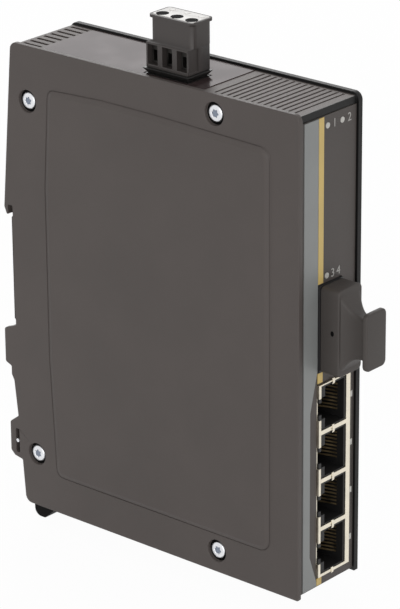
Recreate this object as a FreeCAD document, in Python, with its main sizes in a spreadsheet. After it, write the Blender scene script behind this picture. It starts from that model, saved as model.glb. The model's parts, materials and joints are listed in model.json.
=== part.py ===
"""Slim DIN rail Ethernet switch: two moulded shells with vents, a fibre port under a rubber cap, a row of
four jacks, a pluggable supply terminal, the circuit board inside and a sprung rail latch at the back.

The origin is the middle of the rail seat: X across the housing, +Y out of the back, +Z up.
"""
import FreeCAD, Part
import math
import os
import re
import Sketcher

doc = FreeCAD.newDocument("RailSwitch")
sheet = doc.addObject("Spreadsheet::Sheet", "Sizes")

driving = [
    # housing
    ("bodyWidth", 26.0, "across both shells"),
    ("seatDepth", 101.9, "front edge of the shells to the rail seat"),
    ("aboveRail", 65.4, "rail centre to the top"),
    ("belowRail", 71.0, "rail centre to the bottom"),
    ("sideWall", 1.6, "thickness of both side plates"),
    ("shellWall", 2.0, "top and bottom walls"),
    ("rimStep", 0.8, "walls lie this far inside the side plates' edges"),
    ("backWall", 2.4, "wall behind the rail seat"),
    ("topSetback", 1.3, "back edge at the top, in front of the seat"),
    ("bottomSetback", 2.4, "back edge at the bottom, in front of the seat"),
    ("cornerRound", 2.2, "outer corners of the side plates"),
    # rail fitting
    ("railHeight", 35.0, "top-hat rail"),
    ("railThickness", 1.0, "rail flange"),
    ("railPlay", 0.4, "clearance round the rail's edge"),
    ("lipOverlap", 2.4, "upper lip over the rail's top edge"),
    ("seatRelief", 0.3, "relief under the lip and at the latch hook"),
    ("lipRise", 17.2, "rail centre to the lip's shoulder"),
    ("lipReach", 2.8, "lip's shoulder behind the seat"),
    ("tabReach", 4.1, "lower tab behind the seat"),
    ("tabHeight", 11.8, "lower tab"),
    ("waistReach", 1.9, "shoulder under the lower tab"),
    ("bridgeTop", 47.6, "rail centre down to the latch bridge"),
    ("bridgeHeight", 10.2, "latch bridge"),
    ("bridgeBar", 0.8, "bar between the side plates at the bridge"),
    ("bridgeReach", 3.0, "latch bridge behind the seat"),
    # raised panel and screws
    ("panelRise", 0.8, "raised panel on the left side"),
    ("panelSlope", 1.5, "width of the panel's sloped edge"),
    ("panelBack", 13.1, "panel's rear edge in front of the seat"),
    ("panelBow", 1.8, "panel's rear corners further forward"),
    ("panelCrown", 1.0, "panel's upper corners below its top edge"),
    ("panelFront", 9.5, "panel's front edge behind the shell's front"),
    ("panelTop", 9.8, "panel's top edge below the housing's top"),
    ("panelBottom", 11.4, "panel's bottom edge above the housing's bottom"),
    ("panelRearRound", 2.5, "panel's rear corners"),
    ("panelFrontRound", 3.6, "panel's front corners"),
    ("screwRadius", 1.25, "cover screw shank"),
    ("headRadius", 2.1, "cover screw head"),
    ("headHeight", 0.7, "cover screw head"),
    ("dishRadius", 3.2, "recess round a screw head"),
    ("dishDepth", 1.2, "recess round a screw head"),
    ("bossWall", 0.4, "boss wall round the recess"),
    ("rearScrewBack", 7.1, "rear screws in front of the seat"),
    ("frontScrewBack", 28.3, "front screws behind the shell's front"),
    ("rearScrewUp", 49.6, "rail centre to the upper rear screw"),
    ("rearScrewDown", 55.0, "rail centre to the lower rear screw"),
    ("frontScrewUp", 60.0, "rail centre to the upper front screw"),
    ("frontScrewDown", 64.7, "rail centre to the lower front screw"),
    ("postRadius", 2.2, "screw posts"),
    # vents
    ("ventPitch", 2.05, "front vent slots"),
    ("ventCount", 14, "front vent slots"),
    ("ventWidth", 0.65, "front vent slots"),
    ("ventStart", 3.6, "first vent slot behind the shell's front"),
    ("ventMargin", 1.1, "end of a slot to the side plate"),
    ("rearVentPitch", 2.7, "rear vent slots"),
    ("rearVentCount", 8, "rear vent slots"),
    ("rearVentWidth", 1.0, "rear vent slots"),
    ("rearVentLength", 6.4, "rear vent slots"),
    ("rearVentBack", 3.2, "end of the rear slots in front of the seat"),
    # front
    ("plateDepth", 2.0, "front plate"),
    ("plateStep", 0.6, "front plate behind the shell's front"),
    ("fitGap", 0.1, "gap round a piece set into another"),
    ("stripLeft", 1.2, "label strip from the left shell"),
    ("stripRight", 0.15, "label strip from the jack block"),
    ("stripNotch", 2.9, "label strip narrower beside the jacks"),
    ("stripEnd", 0.3, "label strip below the top wall"),
    ("filmThickness", 0.35, "label strip and accent line"),
    ("filmRecess", 0.2, "recess for the strip and line"),
    ("lineWidth", 2.1, "accent line"),
    ("topFilm", 0.25, "top label"),
    ("topLabelBack", 10.5, "top label's rear edge in front of the seat"),
    ("topLabelLength", 57.2, "top label"),
    ("topLabelMargin", 0.5, "top label from the side plates"),
    # jack block
    ("portPitch", 14.0, "jack pitch"),
    ("portCount", 4, "jacks"),
    ("jackLow", 3.7, "jack block above the housing's bottom"),
    ("jackRight", 4.1, "jack block from the housing's right side"),
    ("jackThick", 13.2, "jack block, along X"),
    ("jackDepth", 20.8, "jack block"),
    ("jackProud", 0.1, "jack block in front of the shells"),
    ("shieldWall", 0.3, "shield sheet"),
    ("shieldRib", 0.8, "shield between two jacks"),
    ("shieldRight", 1.7, "shield's wide edge"),
    ("shieldLeft", 0.9, "shield's narrow edge"),
    ("socketWide", 11.7, "jack opening, along Z"),
    ("socketTall", 8.0, "jack opening, along X"),
    ("socketDepth", 14.6, "jack opening"),
    ("keyWide", 6.2, "latch keyway"),
    ("keyTall", 1.5, "latch keyway"),
    ("keyNotchWide", 3.4, "inner latch keyway"),
    ("keyNotchTall", 1.3, "inner latch keyway"),
    ("contactPitch", 1.02, "jack contacts"),
    ("contactWide", 0.45, "jack contact"),
    # fibre port
    ("fibreRise", 4.5, "fibre port centre above the rail centre"),
    ("fibreTall", 24.2, "fibre port block, along Z"),
    ("fibreThick", 9.6, "fibre port block, along X"),
    ("fibreDepth", 36.0, "fibre port block"),
    ("fibrePitch", 12.7, "between the two fibre sockets"),
    ("socketHigh", 9.0, "fibre socket, along Z"),
    ("socketBroad", 7.4, "fibre socket, along X"),
    ("fibreSocketDepth", 18.0, "fibre socket"),
    ("ferruleRadius", 1.25, "ferrule sleeve bore"),
    ("sleeveWall", 0.5, "ferrule sleeve"),
    ("sleeveLength", 11.0, "ferrule sleeve"),
    ("capBlock", 6.3, "dust cap block"),
    ("capFlare", 7.8, "dust cap neck, from the block to the grip"),
    ("capNeckTall", 11.6, "dust cap neck, along Z"),
    ("capNeckThick", 4.0, "dust cap neck, along X"),
    ("capLean", 2.2, "dust cap neck towards the left at the grip"),
    ("gripLean", 1.0, "dust cap grip left of the port"),
    ("capRound", 1.2, "dust cap block's corners"),
    ("gripTall", 16.0, "dust cap grip, along Z"),
    ("gripWide", 8.3, "dust cap grip, along X"),
    ("gripThick", 1.6, "dust cap grip"),
    ("plugDepth", 8.0, "dust cap plugs in the sockets"),
    ("plugPlay", 0.25, "dust cap plug to socket wall"),
    # board
    ("boardThick", 1.6, "circuit board"),
    ("boardFront", 4.1, "board's front edge behind the shell's front"),
    ("boardBack", 11.5, "board's rear edge in front of the seat"),
    ("boardTopGap", 1.6, "board below the top wall"),
    ("boardBottomGap", 1.7, "board above the bottom wall"),
    ("standoffRadius", 2.4, "board standoffs"),
    ("pilotRadius", 0.9, "board screw pilot"),
    ("boardScrewRadius", 0.75, "board screw shank"),
    # supply terminal
    ("terminalBack", 54.1, "terminal centre in front of the seat"),
    ("terminalLeft", 3.8, "terminal from the housing's left side"),
    ("polePitch", 5.05, "terminal poles"),
    ("poleCount", 3, "terminal poles"),
    ("terminalThick", 9.2, "terminal's lower block, along X"),
    ("lowerInset", 0.4, "terminal's lower block inside the collar's outline"),
    ("upperLeft", 2.2, "terminal's upper block set back from the collar's left"),
    ("upperThick", 8.0, "terminal's upper block, along X"),
    ("upperRound", 1.8, "terminal's upper block, upright corners"),
    ("rimTall", 0.8, "rim round the terminal's top"),
    ("rimFlare", 0.5, "rim round the terminal's top"),
    ("gripRecess", 0.3, "hollow in the terminal's end face"),
    ("lowerTall", 7.0, "terminal's lower block"),
    ("upperTall", 7.0, "terminal's upper block"),
    ("plugTongueTall", 7.6, "terminal inside the header"),
    ("plugTongueThick", 6.6, "terminal inside the header, along X"),
    ("windowWide", 3.4, "wire opening, along Y"),
    ("windowTall", 5.4, "wire opening, along Z"),
    ("windowDeep", 6.2, "wire opening"),
    ("driverRadius", 1.7, "screwdriver opening"),
    ("collarTall", 1.5, "header collar above the label"),
    ("collarFlare", 1.1, "header collar"),
    ("collarRim", 0.45, "header collar round the terminal"),
    ("headerWall", 1.0, "header"),
    ("headerTall", 10.5, "header below the top wall"),
    # latch
    ("latchWidth", 17.2, "rail latch"),
    ("latchThick", 2.8, "rail latch"),
    ("latchPlay", 0.5, "latch in its channel"),
    ("latchTravel", 3.0, "latch pulled down"),
    ("latchBack", 1.1, "latch's rear face in front of the seat"),
    ("latchCrank", 3.4, "latch's lower part further forward"),
    ("hookOverlap", 1.6, "latch hook over the rail's bottom edge"),
    ("hookThick", 2.3, "latch hook"),
    ("pullDrop", 6.1, "pull foot below the housing"),
    ("pullBack", 1.4, "pull foot's rear face in front of the seat"),
    ("pullLength", 7.9, "pull foot, front to back"),
    ("pullRound", 2.4, "pull foot's lower rear edge"),
    ("springRadius", 1.45, "latch spring, to the wire's middle"),
    ("springWire", 0.5, "latch spring wire"),
    ("springTurns", 7, "latch spring"),
    ("springRoom", 17.0, "latch spring at rest"),
    ("pinRadius", 0.55, "latch pin"),
    ("pinSlot", 7.2, "slot for the latch pin"),
]
size = {}
for row, (alias, number, note) in enumerate(driving, 1):
    sheet.set(f"A{row}", alias)
    sheet.set(f"B{row}", str(number))
    sheet.set(f"C{row}", note)
    sheet.setAlias(f"B{row}", alias)
    size[alias] = number
doc.recompute()

# derived places, as formulas on the sheet's cells
place = {
    "left": "(-bodyWidth / 2)",
    "leftInner": "(-bodyWidth / 2 + sideWall)",
    "right": "(bodyWidth / 2)",
    "rightInner": "(bodyWidth / 2 - sideWall)",
    "front": "(-seatDepth)",
    "plateFace": "(-seatDepth + plateStep)",
    "plateRear": "(-seatDepth + plateStep + plateDepth)",
    "wallTop": "(aboveRail - rimStep)",
    "wallBottom": "(-belowRail + rimStep)",
    "innerTop": "(aboveRail - rimStep - shellWall)",
    "innerBottom": "(-belowRail + rimStep + shellWall)",
    "railTop": "(railHeight / 2)",
    "railFoot": "(-railHeight / 2)",
    "tabTop": "(-railHeight / 2 - railPlay / 2)",
    "tabFoot": "(-railHeight / 2 - railPlay / 2 - tabHeight)",
    "bridgeFoot": "(-bridgeTop - bridgeHeight)",
    "jackX0": "(bodyWidth / 2 - jackRight - jackThick)",
    "jackX1": "(bodyWidth / 2 - jackRight)",
    "jackZ0": "(-belowRail + jackLow)",
    "jackZ1": "(-belowRail + jackLow + portCount * portPitch)",
    "jackFace": "(-seatDepth - jackProud)",
    "jackRear": "(-seatDepth - jackProud + jackDepth)",
    "boardFace": "(bodyWidth / 2 - jackRight - jackThick + fibreThick + 0.2)",
    "boardRear": "(bodyWidth / 2 - jackRight - jackThick + fibreThick + 0.2 + boardThick)",
    "boardTop": "(aboveRail - rimStep - shellWall - boardTopGap)",
    "boardBottom": "(-belowRail + rimStep + shellWall + boardBottomGap)",
    "fibreX0": "(bodyWidth / 2 - jackRight - jackThick + 0.2 - fitGap)",
    "fibreX1": "(bodyWidth / 2 - jackRight - jackThick + 0.2 + fibreThick)",
    "fibreZ0": "(fibreRise - fibreTall / 2)",
    "fibreZ1": "(fibreRise + fibreTall / 2)",
    "terminalX0": "(-bodyWidth / 2 + terminalLeft)",
    "terminalX1": "(-bodyWidth / 2 + terminalLeft + terminalThick)",
    "terminalY0": "(-terminalBack - poleCount * polePitch / 2)",
    "terminalY1": "(-terminalBack + poleCount * polePitch / 2)",
    "labelTop": "(aboveRail - rimStep + topFilm)",
    "collarTop": "(aboveRail - rimStep + topFilm + collarTall)",
    "lowerTop": "(aboveRail - rimStep + topFilm + collarTall + lowerTall)",
    "terminalTop": "(aboveRail - rimStep + topFilm + collarTall + lowerTall + upperTall)",
    "channelHalf": "(latchWidth / 2 + latchPlay)",
    "latchFront": "(-latchBack - latchThick)",
    "channelFront": "(-latchBack - latchThick - latchPlay)",
    "crankTop": "(-bridgeTop - bridgeHeight - 0.4)",
    "pinZ": "(-bridgeTop - bridgeHeight / 2 - 0.2)",
    "pinY": "(bridgeReach - 2.7)",
    "socketX0": "(bodyWidth / 2 - jackRight - shieldRight - 0.6 - socketTall)",
    "socketX1": "(bodyWidth / 2 - jackRight - shieldRight - 0.6)",
    "fibreMiddle": "(bodyWidth / 2 - jackRight - jackThick + 0.2 + fibreThick / 2 - fitGap / 2)",
    "upperX0": "(-bodyWidth / 2 + terminalLeft + upperLeft)",
    "upperX1": "(-bodyWidth / 2 + terminalLeft + upperLeft + upperThick)",
    "driverX": "(-bodyWidth / 2 + terminalLeft + upperLeft + upperThick / 2 - 0.4)",
}
words = re.compile(r"[A-Za-z]\w*")


def formula(text):
    """A formula with the derived places written out and each size read from the sheet."""
    while any(word in place for word in words.findall(text)):
        text = words.sub(lambda m: place.get(m.group(0), m.group(0)), text)
    return words.sub(lambda m: "Sizes." + m.group(0) if m.group(0) in size else m.group(0), text)


def bind(thing, name, text):
    thing.setExpression(name, formula(text))


pieces = []


def newBody(label):
    body = doc.addObject("PartDesign::Body", "Body_" + label)
    body.Label = label
    pieces.append(body)
    return body


def newSketch(body, role, offset="0"):
    """An empty sketch on one of the body's own origin planes."""
    sketch = body.newObject("Sketcher::SketchObject", "Sketch")
    plane = [item for item in body.Origin.OriginFeatures if item.Role == role][0]
    sketch.AttachmentSupport = (plane, "")
    sketch.MapMode = "FlatFace"
    sign = "-" if role == "XZ_Plane" else ""
    bind(sketch, "AttachmentOffset.Base.z", f"{sign}({offset})")
    return sketch


def addOutline(sketch, corners):
    """A closed outline of straight edges, each corner held by two distances from the origin."""
    count = len(corners)
    first = sketch.GeometryCount
    ring = [FreeCAD.Vector(math.cos(2 * math.pi * i / count), math.sin(2 * math.pi * i / count), 0) * 20
            for i in range(count)]
    for i in range(count):
        sketch.addGeometry(Part.LineSegment(ring[i], ring[(i + 1) % count]), False)
    for i in range(count):
        sketch.addConstraint(Sketcher.Constraint("Coincident", first + i, 2, first + (i + 1) % count, 1))
    for i, (across, up) in enumerate(corners):
        for kind, text, start in (("DistanceX", across, ring[i].x), ("DistanceY", up, ring[i].y)):
            index = sketch.addConstraint(Sketcher.Constraint(kind, -1, 1, first + i, 1, start))
            bind(sketch, f"Constraints[{index}]", text)


def addRectangle(sketch, x0, x1, y0, y1):
    addOutline(sketch, [(x0, y0), (x1, y0), (x1, y1), (x0, y1)])


def addCircle(sketch, across, up, radius):
    edge = sketch.addGeometry(Part.Circle(FreeCAD.Vector(0, 0, 0), FreeCAD.Vector(0, 0, 1), 1.0), False)
    for kind, text in (("DistanceX", across), ("DistanceY", up)):
        index = sketch.addConstraint(Sketcher.Constraint(kind, -1, 1, edge, 3, 0.5))
        bind(sketch, f"Constraints[{index}]", text)
    index = sketch.addConstraint(Sketcher.Constraint("Radius", edge, 1.0))
    bind(sketch, f"Constraints[{index}]", radius)


def addHexagon(sketch, across, up, radius):
    turns = [(1, "0"), (0.5, "0.866"), (-0.5, "0.866"), (-1, "0"), (-0.5, "-0.866"), (0.5, "-0.866")]
    addOutline(sketch, [(f"{across} + {a} * {radius}", f"{up} + {b} * {radius}") for a, b in turns])


def feature(kind, sketch, length, other=False, both=False, taper=0):
    """A pad or pocket of a sketch; other turns its direction, both makes it symmetric."""
    body = sketch.getParentGeoFeatureGroup()
    before = body.Tip.Shape.Volume if body.Tip and hasattr(body.Tip, "Shape") and body.Tip.Shape.Solids else 0
    made = body.newObject("PartDesign::" + kind, kind)
    made.Profile = sketch
    bind(made, "Length", length)
    made.SideType = "Symmetric" if both else "One side"
    made.Reversed = other
    made.TaperAngle = taper
    doc.recompute()
    change = made.Shape.Volume - before
    if (change if kind == "Pad" else -change) < 0.01:
        raise RuntimeError(f"{body.Label}: {kind} changes nothing ({change:.3f})")
    return made


def repeat(body, original, axis, pitch, count):
    """Equal steps of one feature along an axis of the body."""
    pattern = body.newObject("PartDesign::LinearPattern", "Pattern")
    pattern.Originals = [original]
    line = [item for item in body.Origin.OriginFeatures if item.Role == axis][0]
    pattern.Direction = (line, [""])
    pattern.Mode = "Spacing"
    bind(pattern, "Offset", pitch)
    bind(pattern, "Occurrences", count)
    body.Tip = pattern
    doc.recompute()
    return pattern


def smooth(body, kind, amount, chosen):
    """A fillet or chamfer of the edges that the test picks."""
    tip = body.Tip
    names = [f"Edge{i}" for i, edge in enumerate(tip.Shape.Edges, 1) if chosen(edge)]
    if not names:
        raise RuntimeError(f"{body.Label}: no edge to {kind}")
    made = body.newObject("PartDesign::" + kind, kind)
    made.Base = (tip, names)
    bind(made, "Radius" if kind == "Fillet" else "Size", amount)
    doc.recompute()
    return made


def along(edge, axis):
    """True for a straight edge along an axis, 0, 1 or 2."""
    if edge.Curve.TypeId != "Part::GeomLine":
        return False
    return abs(edge.tangentAt(edge.FirstParameter)[axis]) > 0.999


def middle(edge):
    return edge.BoundBox.Center


def block(label, x0, x1, y0, y1, z0, z1):
    """A box between six formulas."""
    box = doc.addObject("Part::Box", "Box_" + label)
    box.Label = label
    for name, low, high, base in (("Length", x0, x1, "x"), ("Width", y0, y1, "y"), ("Height", z0, z1, "z")):
        bind(box, name, f"({high}) - ({low})")
        bind(box, "Placement.Base." + base, low)
    return box


def rod(label, axis, radius, length, x, y, z, sides=0):
    """A cylinder, or a prism of some sides, along X, Y or Z that starts at a point."""
    item = doc.addObject("Part::Prism" if sides else "Part::Cylinder", "Rod_" + label)
    item.Label = label
    turn = {"X": (FreeCAD.Vector(0, 1, 0), 90), "Y": (FreeCAD.Vector(1, 0, 0), -90), "Z": (FreeCAD.Vector(0, 0, 1), 0)}
    item.Placement = FreeCAD.Placement(FreeCAD.Vector(0, 0, 0), FreeCAD.Rotation(*turn[axis]))
    if sides:
        item.Polygon = sides
    bind(item, "Circumradius" if sides else "Radius", radius)
    bind(item, "Height", length)
    for name, text in (("x", x), ("y", y), ("z", z)):
        bind(item, "Placement.Base." + name, text)
    return item


def joined(kind, label, items):
    """A cut of the first item by the others, a fusion, or a group of separate solids."""
    if kind == "Cut":
        made = doc.addObject("Part::Cut", "Cut_" + label)
        made.Base = items[0]
        made.Tool = items[1] if len(items) == 2 else joined("MultiFuse", label + "_tools", items[1:])
    elif kind == "MultiFuse":
        made = doc.addObject("Part::MultiFuse", "Fuse_" + label)
        made.Shapes = items
    else:
        made = doc.addObject("Part::Compound", "Group_" + label)
        made.Links = items
    made.Label = label
    return made


def piece(item, label):
    item.Label = label
    pieces.append(item)
    return item


screws = [
    ("-rearScrewBack", "rearScrewUp"),
    ("-rearScrewBack", "-rearScrewDown"),
    ("front + frontScrewBack", "frontScrewUp"),
    ("front + frontScrewBack", "-frontScrewDown"),
]
standoffs = [
    ("-boardBack - 5", "boardTop - 7"),
    ("-boardBack - 5", "boardBottom + 6"),
    ("front + boardFront + 8", "boardTop - 22"),
    ("jackRear + 5", "boardBottom + 24"),
]


def sideOutline(step):
    """The housing's profile from the side, with the rail fitting at the back; the walls step in a little."""
    return [
        (f"front + {step}", f"aboveRail - {step}"),
        (f"-topSetback - {step}", f"aboveRail - {step}"),
        (f"lipReach - {step}", "lipRise"),
        ("railThickness + railPlay + 0.5", "railTop - lipOverlap"),
        ("railThickness + railPlay", "railTop - lipOverlap"),
        ("railThickness + railPlay", "railTop + railPlay"),
        ("-seatRelief", "railTop + railPlay"),
        ("-seatRelief", "railTop - lipOverlap - seatRelief"),
        ("0", "railTop - lipOverlap - seatRelief"),
        ("0", "railFoot + hookOverlap + seatRelief"),
        ("-seatRelief", "railFoot + hookOverlap + seatRelief"),
        ("-seatRelief", "tabTop"),
        (f"tabReach - {step}", "tabTop - 1.6"),
        (f"tabReach - {step}", "tabFoot"),
        (f"waistReach - {step}", "tabFoot - 0.9"),
        (f"waistReach - {step}", "tabFoot - 3.4"),
        (f"waistReach - 0.9 - {step}", "tabFoot - 5"),
        (f"-0.2 - {step}", "-bridgeTop + 2.4"),
        (f"bridgeReach - {step}", "-bridgeTop"),
        (f"bridgeReach - {step}", "bridgeFoot + 1.4"),
        (f"bridgeReach - 1.5 - {step}", "bridgeFoot"),
        (f"-1.4 - {step}", "bridgeFoot - 0.5"),
        (f"-bottomSetback - {step}", f"-belowRail + {step}"),
        (f"front + {step}", f"-belowRail + {step}"),
    ]


def roundSidePlate(body, x):
    """Rounded outer corners of a side plate, at the top, bottom and lower tab."""
    corners = [(-size["seatDepth"], size["aboveRail"]), (-size["topSetback"], size["aboveRail"]),
               (-size["bottomSetback"], -size["belowRail"])]
    smooth(body, "Fillet", "cornerRound", lambda edge: along(edge, 0) and abs(middle(edge).x - x) < 0.01 and any(
        abs(middle(edge).y - y) < 0.01 and abs(middle(edge).z - z) < 0.01 for y, z in corners))
    reach = [size["tabReach"], size["bridgeReach"]]
    smooth(body, "Fillet", "rimStep", lambda edge: along(edge, 0) and abs(middle(edge).x - x) < 0.01 and any(
        abs(middle(edge).y - y) < 0.01 for y in reach))


def pinSlotCut(body):
    """The slot that the latch pin slides in, through everything at its place."""
    sketch = newSketch(body, "YZ_Plane")
    addRectangle(sketch, "pinY - pinRadius - 0.1", "pinY + pinRadius + 0.1",
                 "pinZ - pinSlot / 2", "pinZ + pinSlot / 2")
    return feature("Pocket", sketch, "bodyWidth + 4", both=True)


def buildLeftCover():
    body = newBody("left_cover")
    sketch = newSketch(body, "YZ_Plane", "left")
    addOutline(sketch, sideOutline("0"))
    feature("Pad", sketch, "sideWall")
    roundSidePlate(body, -size["bodyWidth"] / 2 + size["sideWall"] / 2)
    # raised panel with a bowed rear edge and sloped sides, and the hollow behind it
    for kind, offset, shrink in (("Pad", "left", "0"), ("Pocket", "leftInner", "sideWall")):
        sketch = newSketch(body, "YZ_Plane", offset)
        addOutline(sketch, [
            (f"front + panelFront + {shrink}", f"-belowRail + panelBottom + {shrink}"),
            (f"-panelBack - panelBow - {shrink}", f"-belowRail + panelBottom + {shrink}"),
            (f"-panelBack - {shrink}", "-belowRail / 3"),
            (f"-panelBack - {shrink}", "aboveRail * 0.4"),
            (f"-panelBack - panelBow - {shrink}", f"aboveRail - panelTop - panelCrown - {shrink}"),
            ("front / 3", f"aboveRail - panelTop - {shrink}"),
            ("front / 2", f"aboveRail - panelTop - {shrink}"),
            (f"front + panelFront + {shrink}", f"aboveRail - panelTop - panelCrown - {shrink}"),
        ])
        feature(kind, sketch, "panelRise", other=kind == "Pad")
        level = -size["bodyWidth"] / 2 - size["panelRise"] / 2
        inset = 0
        if kind == "Pocket":
            level += size["sideWall"]
            inset = size["sideWall"]
        rear = -size["panelBack"] - size["panelBow"] - inset
        face = -size["seatDepth"] + size["panelFront"] + inset
        for radius, place_y in (("panelRearRound", rear), ("panelFrontRound", face)):
            smooth(body, "Fillet", radius, lambda edge: along(edge, 0) and abs(middle(edge).x - level) < 0.02
                   and abs(middle(edge).y - place_y) < 0.01)
        if kind == "Pad":
            outer = -size["bodyWidth"] / 2 - size["panelRise"]
            slope = smooth(body, "Chamfer", "panelRise * 0.9", lambda edge: abs(edge.BoundBox.XMin - outer) < 0.01
                           and abs(edge.BoundBox.XMax - outer) < 0.01)
            slope.ChamferType = "Two distances"
            bind(slope, "Size2", "panelSlope")
            doc.recompute()
    # dished recess, hole and inner boss at each screw
    sketch = newSketch(body, "YZ_Plane", "leftInner")
    for y, z in screws:
        addCircle(sketch, y, z, "dishRadius + bossWall")
    feature("Pad", sketch, "dishDepth")
    sketch = newSketch(body, "YZ_Plane", "left")
    for y, z in screws:
        addCircle(sketch, y, z, "dishRadius")
    feature("Pocket", sketch, "dishDepth", other=True)
    sketch = newSketch(body, "YZ_Plane", "left")
    for y, z in screws:
        addCircle(sketch, y, z, "screwRadius + 0.15")
    feature("Pocket", sketch, "sideWall + dishDepth + 1", other=True)
    pinSlotCut(body)


def buildBaseShell():
    body = newBody("base_shell")
    sketch = newSketch(body, "YZ_Plane", "rightInner")
    addOutline(sketch, sideOutline("0"))
    feature("Pad", sketch, "sideWall")
    roundSidePlate(body, size["bodyWidth"] / 2 - size["sideWall"] / 2)
    sketch = newSketch(body, "YZ_Plane", "leftInner")
    addOutline(sketch, sideOutline("rimStep"))
    feature("Pad", sketch, "rightInner - leftInner")
    # room for the board, open to the left and the front
    sketch = newSketch(body, "YZ_Plane", "leftInner")
    addOutline(sketch, [
        ("front - 1", "innerTop"),
        ("-topSetback - rimStep - backWall", "innerTop"),
        ("-backWall", "lipRise + 3"),
        ("-backWall", "tabTop + 2"),
        ("channelFront - 1.2", "tabTop"),
        ("channelFront - 1.2", "crankTop"),
        ("channelFront - latchCrank - 1.2", "crankTop - latchCrank"),
        ("channelFront - latchCrank - 1.2", "innerBottom"),
        ("front - 1", "innerBottom"),
    ])
    feature("Pocket", sketch, "rightInner - leftInner", other=True)
    # the front plate stands below the top wall and in front of the bottom wall
    sketch = newSketch(body, "YZ_Plane", "leftInner")
    addRectangle(sketch, "front - 1", "plateRear", "wallBottom - 1", "innerBottom + 1")
    feature("Pocket", sketch, "rightInner - leftInner", other=True)
    # channel of the rail latch, open at the bottom and behind
    sketch = newSketch(body, "YZ_Plane")
    addOutline(sketch, [
        ("channelFront", "tabTop - latchPlay"),
        ("tabReach + 4", "tabTop - latchPlay"),
        ("tabReach + 4", "-bridgeTop + 0.3"),
        ("bridgeReach - rimStep - bridgeBar", "-bridgeTop + 0.3"),
        ("bridgeReach - rimStep - bridgeBar", "bridgeFoot + 0.8"),
        ("tabReach + 4", "bridgeFoot + 0.8"),
        ("tabReach + 4", "crankTop - latchCrank - latchTravel"),
        ("-latchBack - latchCrank + latchPlay", "crankTop - latchCrank - latchTravel"),
        ("-latchBack - latchCrank + latchPlay", "-belowRail - 1"),
        ("channelFront - latchCrank", "-belowRail - 1"),
        ("channelFront - latchCrank", "crankTop - latchCrank"),
        ("channelFront", "crankTop"),
    ])
    feature("Pocket", sketch, "2 * channelHalf", both=True)
    # ledge that carries the spring
    sketch = newSketch(body, "XZ_Plane", "channelFront")
    addRectangle(sketch, "-springRadius - 0.3", "springRadius + 0.3",
                 "tabFoot + 2.6 - springRoom - 1.6", "tabFoot + 2.6 - springRoom")
    feature("Pad", sketch, "latchThick + latchPlay", other=True)
    # screw posts, with room for the cover's bosses
    sketch = newSketch(body, "YZ_Plane", "leftInner")
    for y, z in screws:
        addCircle(sketch, y, z, "dishRadius + bossWall + fitGap")
    feature("Pocket", sketch, "dishDepth", other=True)
    sketch = newSketch(body, "YZ_Plane", "leftInner + dishDepth")
    for y, z in screws:
        addCircle(sketch, y, z, "postRadius")
    feature("Pad", sketch, "rightInner - leftInner - dishDepth")
    sketch = newSketch(body, "YZ_Plane", "leftInner")
    for y, z in screws:
        addCircle(sketch, y, z, "screwRadius")
    feature("Pocket", sketch, "15", other=True)
    # board standoffs
    sketch = newSketch(body, "YZ_Plane", "boardRear")
    for y, z in standoffs:
        addHexagon(sketch, y, z, "standoffRadius")
    feature("Pad", sketch, "rightInner - boardRear")
    sketch = newSketch(body, "YZ_Plane", "boardRear")
    for y, z in standoffs:
        addHexagon(sketch, y, z, "pilotRadius")
    feature("Pocket", sketch, "rightInner - boardRear", other=True)
    pinSlotCut(body)
    # supply terminal's opening in the top wall
    sketch = newSketch(body, "XY_Plane", "wallTop")
    addRectangle(sketch, "terminalX0 - fitGap", "terminalX1 + fitGap", "terminalY0 - fitGap", "terminalY1 + fitGap")
    feature("Pocket", sketch, "shellWall + 0.5")
    # vent slots, across the top and bottom near the front and lengthwise at the top's rear
    for level, turned in (("wallTop", False), ("wallBottom", True)):
        sketch = newSketch(body, "XY_Plane", level)
        addRectangle(sketch, "leftInner + ventMargin", "rightInner - ventMargin",
                     "front + ventStart", "front + ventStart + ventWidth")
        slot = feature("Pocket", sketch, "shellWall + 0.5", other=turned)
        repeat(body, slot, "Y_Axis", "ventPitch", "ventCount")
    sketch = newSketch(body, "XY_Plane", "wallTop")
    start = "-(rearVentCount - 1) * rearVentPitch / 2 - rearVentWidth / 2"
    addRectangle(sketch, start, start + " + rearVentWidth",
                 "-rearVentBack - rearVentLength", "-rearVentBack")
    slot = feature("Pocket", sketch, "shellWall + 0.5")
    repeat(body, slot, "X_Axis", "rearVentPitch", "rearVentCount")


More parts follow.
